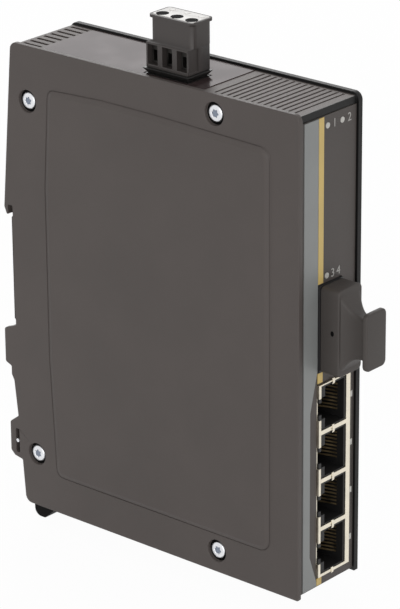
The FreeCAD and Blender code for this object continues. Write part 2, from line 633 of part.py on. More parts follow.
def buildFront():
    body = newBody("front_plate")
    sketch = newSketch(body, "XZ_Plane", "plateRear")
    addRectangle(sketch, "leftInner + fitGap", "rightInner - fitGap", "wallBottom + fitGap", "innerTop - fitGap")
    feature("Pad", sketch, "plateDepth")
    windows = [("fibreX0 - fitGap", "fibreX1 + fitGap", "fibreZ0 - fitGap", "fibreZ1 + fitGap"),
               ("jackX0 - fitGap", "jackX1 + fitGap", "jackZ0 - fitGap", "jackZ1 + fitGap")]
    sketch = newSketch(body, "XZ_Plane", "plateFace")
    for window in windows:
        addRectangle(sketch, *window)
    feature("Pocket", sketch, "plateDepth + 1")
    sketch = newSketch(body, "XZ_Plane", "plateFace")
    for x, z in lamps:
        addCircle(sketch, x, z, lampRadius)
    for x, z in portMarks:
        addRectangle(sketch, f"{x} - 0.45", f"{x} + 0.45", f"{z} - 0.9", f"{z} + 0.9")
    feature("Pocket", sketch, "plateDepth + 1")
    sketch = newSketch(body, "XZ_Plane", "plateFace")
    addOutline(sketch, stripOutline("0"))
    feature("Pocket", sketch, "filmRecess")
    sketch = newSketch(body, "XZ_Plane", "plateFace")
    for low, high in accentRows:
        addRectangle(sketch, lineLeft, lineLeft + " + lineWidth", low, high)
    feature("Pocket", sketch, "filmRecess")

    body = newBody("label_strip")
    sketch = newSketch(body, "XZ_Plane", "plateFace + filmRecess")
    addOutline(sketch, stripOutline("0.03"))
    feature("Pad", sketch, "filmThickness")
    films = [block(f"accent_{i}", f"{lineLeft} + 0.03", f"{lineLeft} + lineWidth - 0.03",
                   "plateFace + filmRecess - filmThickness", "plateFace + filmRecess",
                   f"{low} + 0.03", f"{high} - 0.03") for i, (low, high) in enumerate(accentRows)]
    piece(joined("Group", "accents", films), "accent_line")

    body = newBody("top_label")
    sketch = newSketch(body, "XY_Plane", "wallTop")
    addRectangle(sketch, "leftInner + topLabelMargin", "rightInner - topLabelMargin",
                 "-topLabelBack - topLabelLength", "-topLabelBack")
    feature("Pad", sketch, "topFilm")
    sketch = newSketch(body, "XY_Plane", "labelTop")
    addRectangle(sketch, "terminalX0 - 0.3", "terminalX1 + 0.3", "terminalY0 - 0.3", "terminalY1 + 0.3")
    feature("Pocket", sketch, "topFilm + 1")


stripTop = "innerTop - stripEnd"
stripFoot = "wallBottom + 0.4"


def stripOutline(gap):
    """The label strip: narrower beside the jack block, with slanted ends to the notch."""
    left = f"leftInner + stripLeft + {gap}"
    right = f"jackX0 - stripRight - {gap}"
    inner = f"jackX0 - stripRight - stripNotch - {gap}"
    return [
        (left, f"{stripFoot} + {gap}"),
        (right, f"{stripFoot} + {gap}"),
        (right, "jackZ0 - 1.2"),
        (inner, "jackZ0 + portPitch / 2"),
        (inner, "jackZ1 - portPitch / 2"),
        (right, "jackZ1 + 4"),
        (right, f"{stripTop} - {gap}"),
        (left, f"{stripTop} - {gap}"),
    ]


# the accent line beside the strip shows only where neither a jack nor the fibre port stands
lineLeft = "jackX0 - stripRight + 0.1"
accentRows = [
    (stripFoot, "jackZ0 - 0.4"),
    ("jackZ1 + 0.4", "fibreZ0 - 0.4"),
    ("fibreZ1 + 0.4", stripTop),
]

lampRadius = "0.85"
portLampX = "jackX1 + 1.25"
lamps = [("fibreX0 + 3.6", "wallTop - 5"), ("fibreX0 + 9.6", "wallTop - 5"), ("fibreX0 + 3.6", "fibreZ1 + 1.95")]
portMarks = [(portLampX, f"jackZ0 + {i} * portPitch + portPitch / 2") for i in range(int(size["portCount"]))]


def buildScrews():
    items = []
    for i, (y, z) in enumerate(screws):
        seat = "left + dishDepth"
        head = rod(f"screw_head_{i}", "X", "headRadius", "headHeight", f"{seat} - headHeight", y, z)
        shank = rod(f"screw_shank_{i}", "X", "screwRadius - 0.02", "12", seat, y, z, 8)
        items.append(joined("MultiFuse", f"screw_{i}", [head, shank]))
    piece(joined("Group", "screws", items), "cover_screws")
    items = []
    for i, (y, z) in enumerate(standoffs):
        head = rod(f"board_head_{i}", "X", "1.8", "1.3", "boardFace - 1.3", y, z, 12)
        shank = rod(f"board_shank_{i}", "X", "boardScrewRadius", "boardThick + 3.4", "boardFace", y, z, 8)
        items.append(joined("MultiFuse", f"board_screw_{i}", [head, shank]))
    piece(joined("Group", "bscrews", items), "board_screws")


def buildJacks():
    body = newBody("jack_shield")
    sketch = newSketch(body, "XZ_Plane", "jackRear")
    addRectangle(sketch, "jackX0", "jackX1", "jackZ0", "jackZ1")
    feature("Pad", sketch, "jackDepth")
    sketch = newSketch(body, "XZ_Plane", "jackRear")
    addRectangle(sketch, "jackX0 + shieldWall", "jackX1 - shieldWall", "jackZ0 + shieldWall", "jackZ1 - shieldWall")
    feature("Pocket", sketch, "jackDepth - shieldWall", other=True)
    sketch = newSketch(body, "XZ_Plane", "jackFace")
    addOutline(sketch, [
        ("jackX0 + shieldLeft", "jackZ0 + shieldRib"),
        ("jackX1 - shieldRight", "jackZ0 + shieldRib"),
        ("jackX1 - shieldRight", "jackZ0 + portPitch - shieldRib / 2"),
        ("jackX0 + shieldLeft", "jackZ0 + portPitch - shieldRib / 2"),
        ("jackX0 + shieldLeft", "jackZ0 + portPitch / 2 + keyWide / 2"),
        ("jackX0 - 1", "jackZ0 + portPitch / 2 + keyWide / 2"),
        ("jackX0 - 1", "jackZ0 + portPitch / 2 - keyWide / 2"),
        ("jackX0 + shieldLeft", "jackZ0 + portPitch / 2 - keyWide / 2"),
    ])
    window = feature("Pocket", sketch, "shieldWall + 0.5")
    repeat(body, window, "Z_Axis", "portPitch - 0.001", "portCount")

    body = newBody("jack_insert")
    inner = "(shieldWall + 0.05)"
    sketch = newSketch(body, "XZ_Plane", "jackRear")
    addRectangle(sketch, f"jackX0 + {inner}", f"jackX1 - {inner}", f"jackZ0 + {inner}", f"jackZ1 - {inner}")
    feature("Pad", sketch, "jackDepth - shieldWall - 0.05")
    sketch = newSketch(body, "XZ_Plane", "jackFace")
    mid = "jackZ0 + portPitch / 2"
    addOutline(sketch, [
        ("socketX0", f"{mid} - socketWide / 2"),
        ("socketX1", f"{mid} - socketWide / 2"),
        ("socketX1", f"{mid} + socketWide / 2"),
        ("socketX0", f"{mid} + socketWide / 2"),
        ("socketX0", f"{mid} + keyWide / 2"),
        ("socketX0 - keyTall", f"{mid} + keyWide / 2"),
        ("socketX0 - keyTall", f"{mid} + keyNotchWide / 2"),
        ("socketX0 - keyTall - keyNotchTall", f"{mid} + keyNotchWide / 2"),
        ("socketX0 - keyTall - keyNotchTall", f"{mid} - keyNotchWide / 2"),
        ("socketX0 - keyTall", f"{mid} - keyNotchWide / 2"),
        ("socketX0 - keyTall", f"{mid} - keyWide / 2"),
        ("socketX0", f"{mid} - keyWide / 2"),
    ])
    socket = feature("Pocket", sketch, "socketDepth")
    repeat(body, socket, "Z_Axis", "portPitch", "portCount")

    # gold contacts rising from the socket floor towards the back
    items = []
    for port in range(int(size["portCount"])):
        for n in range(8):
            z = f"{mid} + {port} * portPitch + ({n} - 3.5) * contactPitch"
            foot = block(f"foot_{port}_{n}", "socketX1 - 0.3", "socketX1", "jackFace + 2.4", "jackFace + 5",
                         f"{z} - contactWide / 2", f"{z} + contactWide / 2")
            arm = block(f"arm_{port}_{n}", "socketX1 - 0.3", "socketX1", "jackFace + 2.4", "jackFace + 10.8",
                        f"{z} - contactWide / 2", f"{z} + contactWide / 2")
            arm.Placement.Rotation = FreeCAD.Rotation(FreeCAD.Vector(0, 0, 1), 20)
            items.append(joined("MultiFuse", f"contact_{port}_{n}", [foot, arm]))
    piece(joined("Group", "contacts", items), "jack_contacts")


def buildFibrePort():
    body = newBody("fibre_transceiver")
    sketch = newSketch(body, "XZ_Plane", "front + fibreDepth")
    addRectangle(sketch, "fibreX0", "fibreX1", "fibreZ0", "fibreZ1")
    feature("Pad", sketch, "fibreDepth")
    sketch = newSketch(body, "XZ_Plane", "front")
    for side in ("-", "+"):
        centre = f"fibreRise {side} fibrePitch / 2"
        addRectangle(sketch, "fibreMiddle - socketBroad / 2", "fibreMiddle + socketBroad / 2",
                     f"{centre} - socketHigh / 2", f"{centre} + socketHigh / 2")
    feature("Pocket", sketch, "fibreSocketDepth")

    items = []
    for i, side in enumerate(("-", "+")):
        spot = ("fibreMiddle", "front + fibreSocketDepth - sleeveLength", f"fibreRise {side} fibrePitch / 2")
        outer = rod(f"sleeve_outer_{i}", "Y", "ferruleRadius + sleeveWall", "sleeveLength", *spot, 16)
        inner = rod(f"sleeve_bore_{i}", "Y", "ferruleRadius", "sleeveLength", *spot, 16)
        items.append(joined("Cut", f"sleeve_{i}", [outer, inner]))
    piece(joined("Group", "sleeves", items), "ferrule_sleeves")

    # rubber cap: block, plugs, curved neck and a grip plate
    body = newBody("dust_cap")
    face = "front - 0.05"
    sketch = newSketch(body, "XZ_Plane", face)
    addRectangle(sketch, "fibreX0", "fibreX1", "fibreZ0", "fibreZ1")
    feature("Pad", sketch, "capBlock")
    sketch = newSketch(body, "XZ_Plane", face)
    for side in ("-", "+"):
        centre = f"fibreRise {side} fibrePitch / 2"
        addRectangle(sketch, "fibreMiddle - socketBroad / 2 + plugPlay",
                     "fibreMiddle + socketBroad / 2 - plugPlay",
                     f"{centre} - socketHigh / 2 + plugPlay", f"{centre} + socketHigh / 2 - plugPlay")
    feature("Pad", sketch, "plugDepth", other=True)
    sketch = newSketch(body, "XZ_Plane", "front + plugDepth + 1")
    for side in ("-", "+"):
        addHexagon(sketch, "fibreMiddle", f"fibreRise {side} fibrePitch / 2",
                   "(ferruleRadius + sleeveWall + 0.7)")
    feature("Pocket", sketch, "plugDepth + 0.5", other=True)
    smooth(body, "Fillet", "capRound", lambda edge: along(edge, 1) and abs(edge.BoundBox.YLength - size["capBlock"]) < 0.01)
    sections = []
    for reach, tall, thick, lean in capNeck:
        sketch = newSketch(body, "XZ_Plane", f"{face} - capBlock - {reach} * capFlare")
        centre = f"fibreMiddle - {lean} * capLean"
        addRectangle(sketch, f"{centre} - {thick} / 2", f"{centre} + {thick} / 2",
                     f"fibreRise - {tall} / 2", f"fibreRise + {tall} / 2")
        sections.append(sketch)
    neck = body.newObject("PartDesign::AdditiveLoft", "Neck")
    neck.Profile = sections[0]
    neck.Sections = sections[1:]
    neck.Ruled = True
    doc.recompute()
    sketch = newSketch(body, "XZ_Plane", f"{face} - capBlock - capFlare")
    addRectangle(sketch, "fibreMiddle - gripLean - gripWide / 2", "fibreMiddle - gripLean + gripWide / 2",
                 "fibreRise - gripTall / 2", "fibreRise + gripTall / 2")
    feature("Pad", sketch, "gripThick")
    grip = -size["seatDepth"] - size["capBlock"] - size["capFlare"]
    smooth(body, "Fillet", "1.4", lambda edge: along(edge, 1)
           and abs(edge.BoundBox.YLength - size["gripThick"]) < 0.01 and middle(edge).y < grip)


# sections of the cap's neck: how far along it, its height and thickness there, and its share of the lean
capNeck = [
    ("0", "(fibreZ1 - fibreZ0 - 2.4)", "(fibreX1 - fibreX0 - 1)", "0"),
    ("0.12", "(capNeckTall + 8.4)", "(capNeckThick + 4.2)", "0.1"),
    ("0.28", "(capNeckTall + 5)", "(capNeckThick + 2.6)", "0.28"),
    ("0.5", "(capNeckTall + 2.2)", "(capNeckThick + 1.2)", "0.55"),
    ("0.75", "(capNeckTall + 0.5)", "(capNeckThick + 0.3)", "0.82"),
    ("1", "capNeckTall", "capNeckThick", "1"),
]


def buildLamps():
    pipes, leds = [], []
    for i, (x, z) in enumerate(lamps):
        pipes.append(rod(f"pipe_{i}", "Y", f"{lampRadius} - 0.05", "plateDepth + 1.2", x, "plateFace - 0.05", z))
        leds.append(block(f"led_{i}", "boardFace - 0.8", "boardFace", "front + boardFront + 0.6",
                          "front + boardFront + 2.6", f"{z} - 0.6", f"{z} + 0.6"))
    for i, (x, z) in enumerate(portMarks):
        pipes.append(block(f"port_pipe_{i}", f"{x} - 0.4", f"{x} + 0.4", "plateFace - 0.05", "plateRear + 1.2",
                           f"{z} - 0.85", f"{z} + 0.85"))
    piece(joined("Group", "pipes", pipes), "light_pipes")
    piece(joined("Group", "leds", leds), "status_leds")


def buildBoard():
    body = newBody("circuit_board")
    sketch = newSketch(body, "YZ_Plane", "boardFace")
    notch = "front + frontScrewBack {} (dishRadius + 0.6)"
    addOutline(sketch, [
        ("front + boardFront", "boardTop"),
        (notch.format("-"), "boardTop"),
        (notch.format("-"), "frontScrewUp - dishRadius - 0.6"),
        (notch.format("+"), "frontScrewUp - dishRadius - 0.6"),
        (notch.format("+"), "boardTop"),
        ("-boardBack", "boardTop"),
        ("-boardBack", "boardBottom"),
        (notch.format("+"), "boardBottom"),
        (notch.format("+"), "-frontScrewDown + dishRadius + 0.6"),
        (notch.format("-"), "-frontScrewDown + dishRadius + 0.6"),
        (notch.format("-"), "boardBottom"),
        ("jackRear + 0.3", "boardBottom"),
        ("jackRear + 0.3", "jackZ1 + 0.4"),
        ("front + boardFront", "jackZ1 + 0.4"),
    ])
    feature("Pad", sketch, "boardThick")
    sketch = newSketch(body, "YZ_Plane", "boardFace")
    for y, z in standoffs:
        addCircle(sketch, y, z, "boardScrewRadius + 0.1")
    feature("Pocket", sketch, "boardThick", other=True)

    def part(label, y0, y1, z0, z1, tall, under="0"):
        return block(label, f"boardFace - {under} - {tall}", f"boardFace - {under}", y0, y1, z0, z1)

    chipY, chipZ = "jackRear + 32", "jackZ0 + portPitch * 1.9"
    piece(part("chip", f"{chipY} - 8", f"{chipY} + 8", f"{chipZ} - 8", f"{chipZ} + 8", "1.6"), "switch_chip")
    piece(part("pad", f"{chipY} - 7", f"{chipY} + 7", f"{chipZ} - 7", f"{chipZ} + 7", "0.5", "1.6"), "thermal_pad")
    body = newBody("heat_sink")
    sketch = newSketch(body, "YZ_Plane", "boardFace - 2.1")
    addRectangle(sketch, f"{chipY} - 11", f"{chipY} + 11", f"{chipZ} - 11", f"{chipZ} + 11")
    feature("Pad", sketch, "2", other=True)
    sketch = newSketch(body, "YZ_Plane", "boardFace - 4.1")
    addRectangle(sketch, f"{chipY} - 11", f"{chipY} - 9.9", f"{chipZ} - 11", f"{chipZ} + 11")
    fin = feature("Pad", sketch, "7", other=True)
    repeat(body, fin, "Y_Axis", "20.9 / 7", "8")

    items = [part(f"magnetic_{i}", "jackRear + 10.4", "jackRear + 17.4", f"jackZ0 + ({i} + 0.5) * portPitch - 6",
                  f"jackZ0 + ({i} + 0.5) * portPitch + 6", "5.4") for i in range(int(size["portCount"]))]
    piece(joined("Group", "magnetics", items), "port_magnetics")
    items = [rod(f"cap_{i}", "X", "4", "10.5", "boardFace - 10.5", y, z, 24)
             for i, (y, z) in enumerate((("-28", "innerTop - 12"), ("-28", "innerTop - 22"), ("-38", "innerTop - 17")))]
    piece(joined("Group", "caps", items), "filter_capacitors")
    piece(part("coil", "-46", "-34", "innerTop - 38", "innerTop - 26", "6.5"), "power_inductor")
    piece(part("trafo", "-72", "-54", "innerTop - 36", "innerTop - 22", "9.5"), "power_transformer")
    piece(part("crystal", f"{chipY} + 15", f"{chipY} + 18.2", f"{chipZ} - 2.5", f"{chipZ} + 2.5", "1.2"), "clock_crystal")
    piece(part("driver", "front + fibreDepth + 6", "front + fibreDepth + 12", "fibreRise - 4", "fibreRise + 4", "1.4"), "driver_chip")


def buildTerminal():
    # header in the housing, its flared collar on top, and the pluggable terminal
    body = newBody("power_header")
    sketch = newSketch(body, "XY_Plane", "innerTop - 0.1")
    addRectangle(sketch, "terminalX0", "boardFace", "terminalY0 + 0.2", "terminalY1 - 0.2")
    feature("Pad", sketch, "headerTall", other=True)
    sketch = newSketch(body, "XY_Plane", "innerTop - 0.1")
    addRectangle(sketch, "terminalX0 + 0.1", "terminalX1 - 0.1", "terminalY0 + 0.2", "terminalY1 - 0.2")
    feature("Pad", sketch, "shellWall + 0.1 + topFilm")
    sketch = newSketch(body, "XY_Plane", "labelTop")
    addRectangle(sketch, "terminalX0 + headerWall", "terminalX0 + headerWall + plugTongueThick + 0.4",
                 "terminalY0 + headerWall", "terminalY1 - headerWall")
    feature("Pocket", sketch, "shellWall + topFilm + headerTall - 2")

    body = newBody("header_collar")
    sketch = newSketch(body, "XY_Plane", "labelTop")
    addRectangle(sketch, "terminalX0 - collarRim + collarFlare", "terminalX1 + collarRim - collarFlare",
                 "terminalY0 - collarRim + collarFlare", "terminalY1 + collarRim - collarFlare")
    feature("Pad", sketch, "collarTall", taper=36)
    sketch = newSketch(body, "XY_Plane", "collarTop")
    addRectangle(sketch, "terminalX0 + headerWall", "terminalX0 + headerWall + plugTongueThick + 0.4",
                 "terminalY0 + headerWall", "terminalY1 - headerWall")
    feature("Pocket", sketch, "collarTall + 1")

    poles = [f"-terminalBack + ({i} - (poleCount - 1) / 2) * polePitch" for i in range(int(size["poleCount"]))]
    items = []
    for i, y in enumerate(poles):
        post = block(f"post_{i}", "terminalX0 + 4 - 0.5", "terminalX0 + 4 + 0.5", f"{y} - 0.5", f"{y} + 0.5",
                     "innerTop - 8.5", "innerTop")
        items.append(post)
    piece(joined("Group", "pins", items), "header_pins")

    body = newBody("terminal_plug")
    # upper block, set back, with rounded upright corners and a rim
    sketch = newSketch(body, "XY_Plane", "lowerTop")
    addRectangle(sketch, "upperX0", "upperX1", "terminalY0 + 0.2", "terminalY1 - 0.1")
    feature("Pad", sketch, "upperTall - rimTall")
    smooth(body, "Fillet", "upperRound", lambda edge: along(edge, 2))
    sketch = newSketch(body, "XY_Plane", "terminalTop - rimTall")
    addRectangle(sketch, "upperX0 - 0.1", "upperX1 + rimFlare", "terminalY0 + 0.1", "terminalY1 - 0.1 + rimFlare")
    feature("Pad", sketch, "rimTall")
    smooth(body, "Fillet", "upperRound * 0.7", lambda edge: along(edge, 2)
           and abs(edge.BoundBox.ZLength - size["rimTall"]) < 0.01)
    # lower block and the tongue in the header
    sketch = newSketch(body, "XY_Plane", "lowerTop")
    addRectangle(sketch, "terminalX0 + lowerInset", "terminalX1",
                 "terminalY0 + lowerInset", "terminalY1 - lowerInset")
    feature("Pad", sketch, "lowerTall", other=True)
    sketch = newSketch(body, "XY_Plane", "collarTop")
    addRectangle(sketch, "terminalX0 + headerWall + 0.2", "terminalX0 + headerWall + 0.2 + plugTongueThick",
                 "terminalY0 + headerWall + 0.2", "terminalY1 - headerWall - 0.2")
    feature("Pad", sketch, "plugTongueTall", other=True)
    # wire openings, a grip hollow in the end face, screwdriver openings and seats for the header pins
    sketch = newSketch(body, "YZ_Plane", "terminalX0 + lowerInset")
    for y in poles:
        addRectangle(sketch, f"{y} - windowWide / 2", f"{y} + windowWide / 2",
                     "lowerTop - windowTall - 0.6", "lowerTop - 0.6")
    feature("Pocket", sketch, "windowDeep", other=True)
    sketch = newSketch(body, "XZ_Plane", "terminalY0 + lowerInset")
    addRectangle(sketch, "terminalX0 + lowerInset + 0.4", "terminalX0 + lowerInset + 4.2",
                 "collarTop + 0.6", "lowerTop - 0.2")
    feature("Pocket", sketch, "gripRecess")
    sketch = newSketch(body, "XY_Plane", "terminalTop")
    for y in poles:
        addCircle(sketch, "driverX", y, "driverRadius")
    feature("Pocket", sketch, "upperTall - 0.4")
    sketch = newSketch(body, "XY_Plane", "collarTop - plugTongueTall")
    for y in poles:
        addRectangle(sketch, "terminalX0 + 4 - 0.8", "terminalX0 + 4 + 0.8", f"{y} - 0.8", f"{y} + 0.8")
    feature("Pocket", sketch, "6", other=True)

    body = newBody("terminal_marker")
    sketch = newSketch(body, "XY_Plane", "terminalTop")
    addRectangle(sketch, "upperX0 + 0.3", "upperX1 + rimFlare - 0.4", "terminalY0 + 0.5", "terminalY1 - 0.1")
    feature("Pad", sketch, "0.3")
    sketch = newSketch(body, "XY_Plane", "terminalTop + 0.3")
    for y in poles:
        addCircle(sketch, "driverX", y, "driverRadius")
    feature("Pocket", sketch, "1")

    heads, cages = [], []
    for i, y in enumerate(poles):
        head = rod(f"clamp_head_{i}", "Z", "driverRadius - 0.1", "1.6", "driverX", y, "lowerTop + 0.4", 16)
        heads.append(head)
        outer = block(f"cage_{i}", "terminalX0 + 2.2", "terminalX0 + 6.2", f"{y} - windowWide / 2 + 0.1",
                      f"{y} + windowWide / 2 - 0.1", "lowerTop - windowTall - 0.5", "lowerTop - 0.7")
        hole = block(f"cage_hole_{i}", "terminalX0 + 1", "terminalX0 + 7", f"{y} - windowWide / 2 + 0.6",
                     f"{y} + windowWide / 2 - 0.6", "lowerTop - windowTall", "lowerTop - 2.4")
        cages.append(joined("Cut", f"clamp_cage_{i}", [outer, hole]))
    piece(joined("Group", "heads", heads), "clamp_screws")
    piece(joined("Group", "cages", cages), "clamp_cages")


def buildLatch():
    body = newBody("rail_latch")
    sketch = newSketch(body, "YZ_Plane")
    hookY = "railThickness + railPlay"
    addOutline(sketch, [
        ("latchFront", "tabTop - latchPlay * 2"),
        (hookY, "tabTop - latchPlay * 2"),
        (hookY, "railFoot + hookOverlap"),
        (f"{hookY} + 0.6", "railFoot + hookOverlap"),
        (f"{hookY} + hookThick", "railFoot - 0.6"),
        (f"{hookY} + hookThick", "tabFoot + 1"),
        ("-latchBack", "tabFoot - 1.5"),
        ("-latchBack", "crankTop"),
        ("-latchBack - latchCrank", "crankTop - latchCrank"),
        ("-latchBack - latchCrank", "-belowRail - 0.4"),
        ("-pullBack", "-belowRail - 0.4"),
        ("-pullBack", "-belowRail - pullDrop"),
        ("-pullBack - pullLength / 2", "-belowRail - pullDrop"),
        ("-pullBack - pullLength", "-belowRail - pullDrop * 0.4"),
        ("-pullBack - pullLength", "-belowRail - 0.4"),
        ("latchFront - latchCrank", "-belowRail - 0.4"),
        ("latchFront - latchCrank", "crankTop - latchCrank"),
        ("latchFront", "crankTop"),
    ])
    feature("Pad", sketch, "latchWidth", both=True)
    foot = -size["belowRail"] - size["pullDrop"]
    smooth(body, "Fillet", "pullRound", lambda edge: along(edge, 0) and abs(middle(edge).z - foot) < 0.01
           and abs(middle(edge).y + size["pullBack"]) < 0.01)
    smooth(body, "Fillet", "1.2", lambda edge: along(edge, 0) and abs(middle(edge).z - foot) < 0.01
           and middle(edge).y < -size["pullBack"] - size["pullLength"] / 2 + 0.01)
    # window for the spring
    sketch = newSketch(body, "XZ_Plane", "latchFront")
    addRectangle(sketch, "-springRadius - 0.7", "springRadius + 0.7",
                 "tabFoot + 2.6 - springRoom - 2", "tabFoot + 2.6")
    feature("Pocket", sketch, "latchThick + 0.8")
    # lugs for the pin
    for side in ("-", ""):
        sketch = newSketch(body, "YZ_Plane", f"{side}(latchWidth / 2 - 2)")
        addRectangle(sketch, "-latchBack", "pinY + pinRadius + 0.25", "pinZ - pinRadius - 1", "pinZ + pinRadius + 1")
        feature("Pad", sketch, "4", both=True)
    sketch = newSketch(body, "YZ_Plane")
    addCircle(sketch, "pinY", "pinZ", "pinRadius")
    feature("Pocket", sketch, "latchWidth + 2", both=True)

    piece(rod("pin", "X", "pinRadius", "bodyWidth - 0.2", "left + 0.1", "pinY", "pinZ"), "latch_pin")

    # compression spring between the ledge and the window's top edge, its turns in straight steps
    radius, wire, sides, steps = size["springRadius"], size["springWire"] / 2, 6, 12
    base = -size["railHeight"] / 2 - size["railPlay"] / 2 - size["tabHeight"] + 2.6 - size["springRoom"]
    rise = (size["springRoom"] - 2 * wire) / size["springTurns"] / steps
    route = [FreeCAD.Vector(radius * math.cos(2 * math.pi * i / steps), radius * math.sin(2 * math.pi * i / steps),
                            rise * i) for i in range(int(size["springTurns"]) * steps + 1)]
    turns = [2 * math.pi * i / sides for i in range(sides + 1)]
    ring = Part.makePolygon([FreeCAD.Vector(radius + wire * math.cos(a), 0, wire * math.sin(a)) for a in turns])
    coil = Part.makePolygon(route).makePipeShell([ring], True, False, 1)
    spring = doc.addObject("Part::Feature", "LatchSpring")
    spring.Shape = coil
    spring.Placement = FreeCAD.Placement(
        FreeCAD.Vector(0, -size["latchBack"] - size["latchThick"] / 2, base + wire), FreeCAD.Rotation())
    piece(spring, "latch_spring")


buildLeftCover()
buildBaseShell()
buildFront()
buildScrews()
buildJacks()
buildFibrePort()
buildLamps()
buildBoard()
buildTerminal()
buildLatch()
doc.recompute()

for item in doc.Objects:
    if "Invalid" in item.State or "Error" in item.State:
        raise RuntimeError(f"{item.Name} {item.Label} failed: {item.State}")
for item in pieces:
    if item.Shape.isNull() or not item.Shape.isValid() or not item.Shape.Solids:
        raise RuntimeError(f"{item.Label} has no valid solid")

os.makedirs("parts", exist_ok=True)
for item in pieces:
    item.Shape.exportStep(f"parts/{item.Label}.step")
    print(f"{item.Label:20s} solids {len(item.Shape.Solids):3d}  volume {item.Shape.Volume / 1000:8.3f} cm3")
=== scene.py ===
import json
import math

import bmesh
import bpy
from mathutils import Matrix, Vector


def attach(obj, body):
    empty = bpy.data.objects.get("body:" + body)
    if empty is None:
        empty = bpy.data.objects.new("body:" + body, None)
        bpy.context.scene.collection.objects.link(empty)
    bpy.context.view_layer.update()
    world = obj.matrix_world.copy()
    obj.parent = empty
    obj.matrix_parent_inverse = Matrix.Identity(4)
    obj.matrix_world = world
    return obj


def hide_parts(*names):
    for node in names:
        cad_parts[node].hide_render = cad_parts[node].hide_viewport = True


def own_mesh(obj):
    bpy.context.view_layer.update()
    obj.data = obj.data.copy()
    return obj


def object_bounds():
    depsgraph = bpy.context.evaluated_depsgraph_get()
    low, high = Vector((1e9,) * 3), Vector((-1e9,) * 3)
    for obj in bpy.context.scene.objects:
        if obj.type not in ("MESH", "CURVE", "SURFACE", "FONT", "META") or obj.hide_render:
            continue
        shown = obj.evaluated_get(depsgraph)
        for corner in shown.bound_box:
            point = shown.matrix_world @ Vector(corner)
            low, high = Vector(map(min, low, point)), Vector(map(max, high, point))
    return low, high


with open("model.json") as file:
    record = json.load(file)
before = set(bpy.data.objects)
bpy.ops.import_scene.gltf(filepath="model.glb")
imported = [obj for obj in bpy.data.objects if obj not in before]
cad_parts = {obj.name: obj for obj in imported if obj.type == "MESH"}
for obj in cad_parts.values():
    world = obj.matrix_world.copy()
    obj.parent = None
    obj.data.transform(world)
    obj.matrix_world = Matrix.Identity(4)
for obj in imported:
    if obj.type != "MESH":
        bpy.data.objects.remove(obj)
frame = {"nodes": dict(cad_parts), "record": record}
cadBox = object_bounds()
nodes = frame["nodes"]
mm = 0.001


# shading: sockets that take part in Python arithmetic, and one method that adds any node

class Value:
    def __init__(self, paint, socket):
        self.paint = paint
        self.socket = socket

    def calc(self, operation, *others):
        return self.paint.add("ShaderNodeMath", {"operation": operation}, (self,) + others)

    def __add__(self, other):
        return self.calc("ADD", other)

    def __mul__(self, other):
        return self.calc("MULTIPLY", other)

    __radd__ = __add__
    __rmul__ = __mul__

    def ramp(self, low, high, bottom=0.0, top=1.0):  # smooth step from bottom to top
        values = {"Value": self, "From Min": low, "From Max": high, "To Min": bottom, "To Max": top}
        return self.paint.add("ShaderNodeMapRange", {"interpolation_type": "SMOOTHSTEP"}, values)


class Paint:
    def __init__(self, name):
        self.material = bpy.data.materials.new(name)
        self.material.use_nodes = True
        self.tree = self.material.node_tree
        self.tree.nodes.clear()
        self.place = self.add("ShaderNodeTexCoord", {}, (), "Object")

    def add(self, kind, settings=None, values=(), output=0):
        node = self.tree.nodes.new(kind)
        for name, setting in (settings or {}).items():
            setattr(node, name, setting)
        for key, value in values.items() if isinstance(values, dict) else enumerate(values):
            if isinstance(value, Value):
                self.tree.links.new(value.socket, node.inputs[key])
            else:
                node.inputs[key].default_value = value
        return Value(self, node.outputs[output])

    def noise(self, size, detail=3.0, roughness=0.5, stretch=(1, 1, 1)):  # size of a grain in millimetres
        place = self.add("ShaderNodeMapping", {}, {"Vector": self.place, "Scale": stretch})
        return self.add("ShaderNodeTexNoise", {}, {"Vector": place, "Scale": 1 / (size * mm),
                                                   "Detail": detail, "Roughness": roughness})

    def blend(self, share, first, second):  # colours
        return self.add("ShaderNodeMix", {"data_type": "RGBA"}, {0: share, 6: first, 7: second}, 2)

    def axis(self, name):
        return self.add("ShaderNodeSeparateXYZ", {}, (self.place,), name)

    def bump(self, height, depth, strength=1.0):  # depth in millimetres
        values = {"Height": height, "Distance": depth * mm, "Strength": strength}
        return self.add("ShaderNodeBump", {}, values)

    def finish(self, **sockets):
        values = {name.replace("_", " "): value for name, value in sockets.items()}
        surface = self.add("ShaderNodeBsdfPrincipled", {}, values)
        self.close(surface)
        return self.material

    def close(self, surface):
        end = self.tree.nodes.new("ShaderNodeOutputMaterial")
        self.tree.links.new(surface.socket, end.inputs[0])


def tint(red, green, blue):  # a screen colour, 0 to 255, as scene light
    def linear(part):
        part /= 255
        return part / 12.92 if part <= 0.04045 else ((part + 0.055) / 1.055) ** 2.4
    return (*(linear(part) for part in (red, green, blue)), 1.0)


def mouldedPlastic(name, colour, roughness=0.55, grain=0.35, depth=0.02, cloud=0.08):
    paint = Paint(name)
    cloudy = paint.noise(22, 3)
    fine = paint.noise(grain, 3, 0.6)
    speck = paint.noise(grain * 0.5, 1)
    dark = tuple(part * (1 - cloud) for part in colour[:3]) + (1,)
    light = tuple(part * (1 + cloud) for part in colour[:3]) + (1,)
    shade = paint.blend((cloudy * 0.6 + fine * 0.4).ramp(0.3, 0.7), dark, light)
    return paint.finish(Base_Color=shade, Roughness=fine.ramp(0.3, 0.7, roughness - 0.06, roughness + 0.06),
                        Normal=paint.bump(fine * 0.7 + speck * 0.3, depth, 0.6))


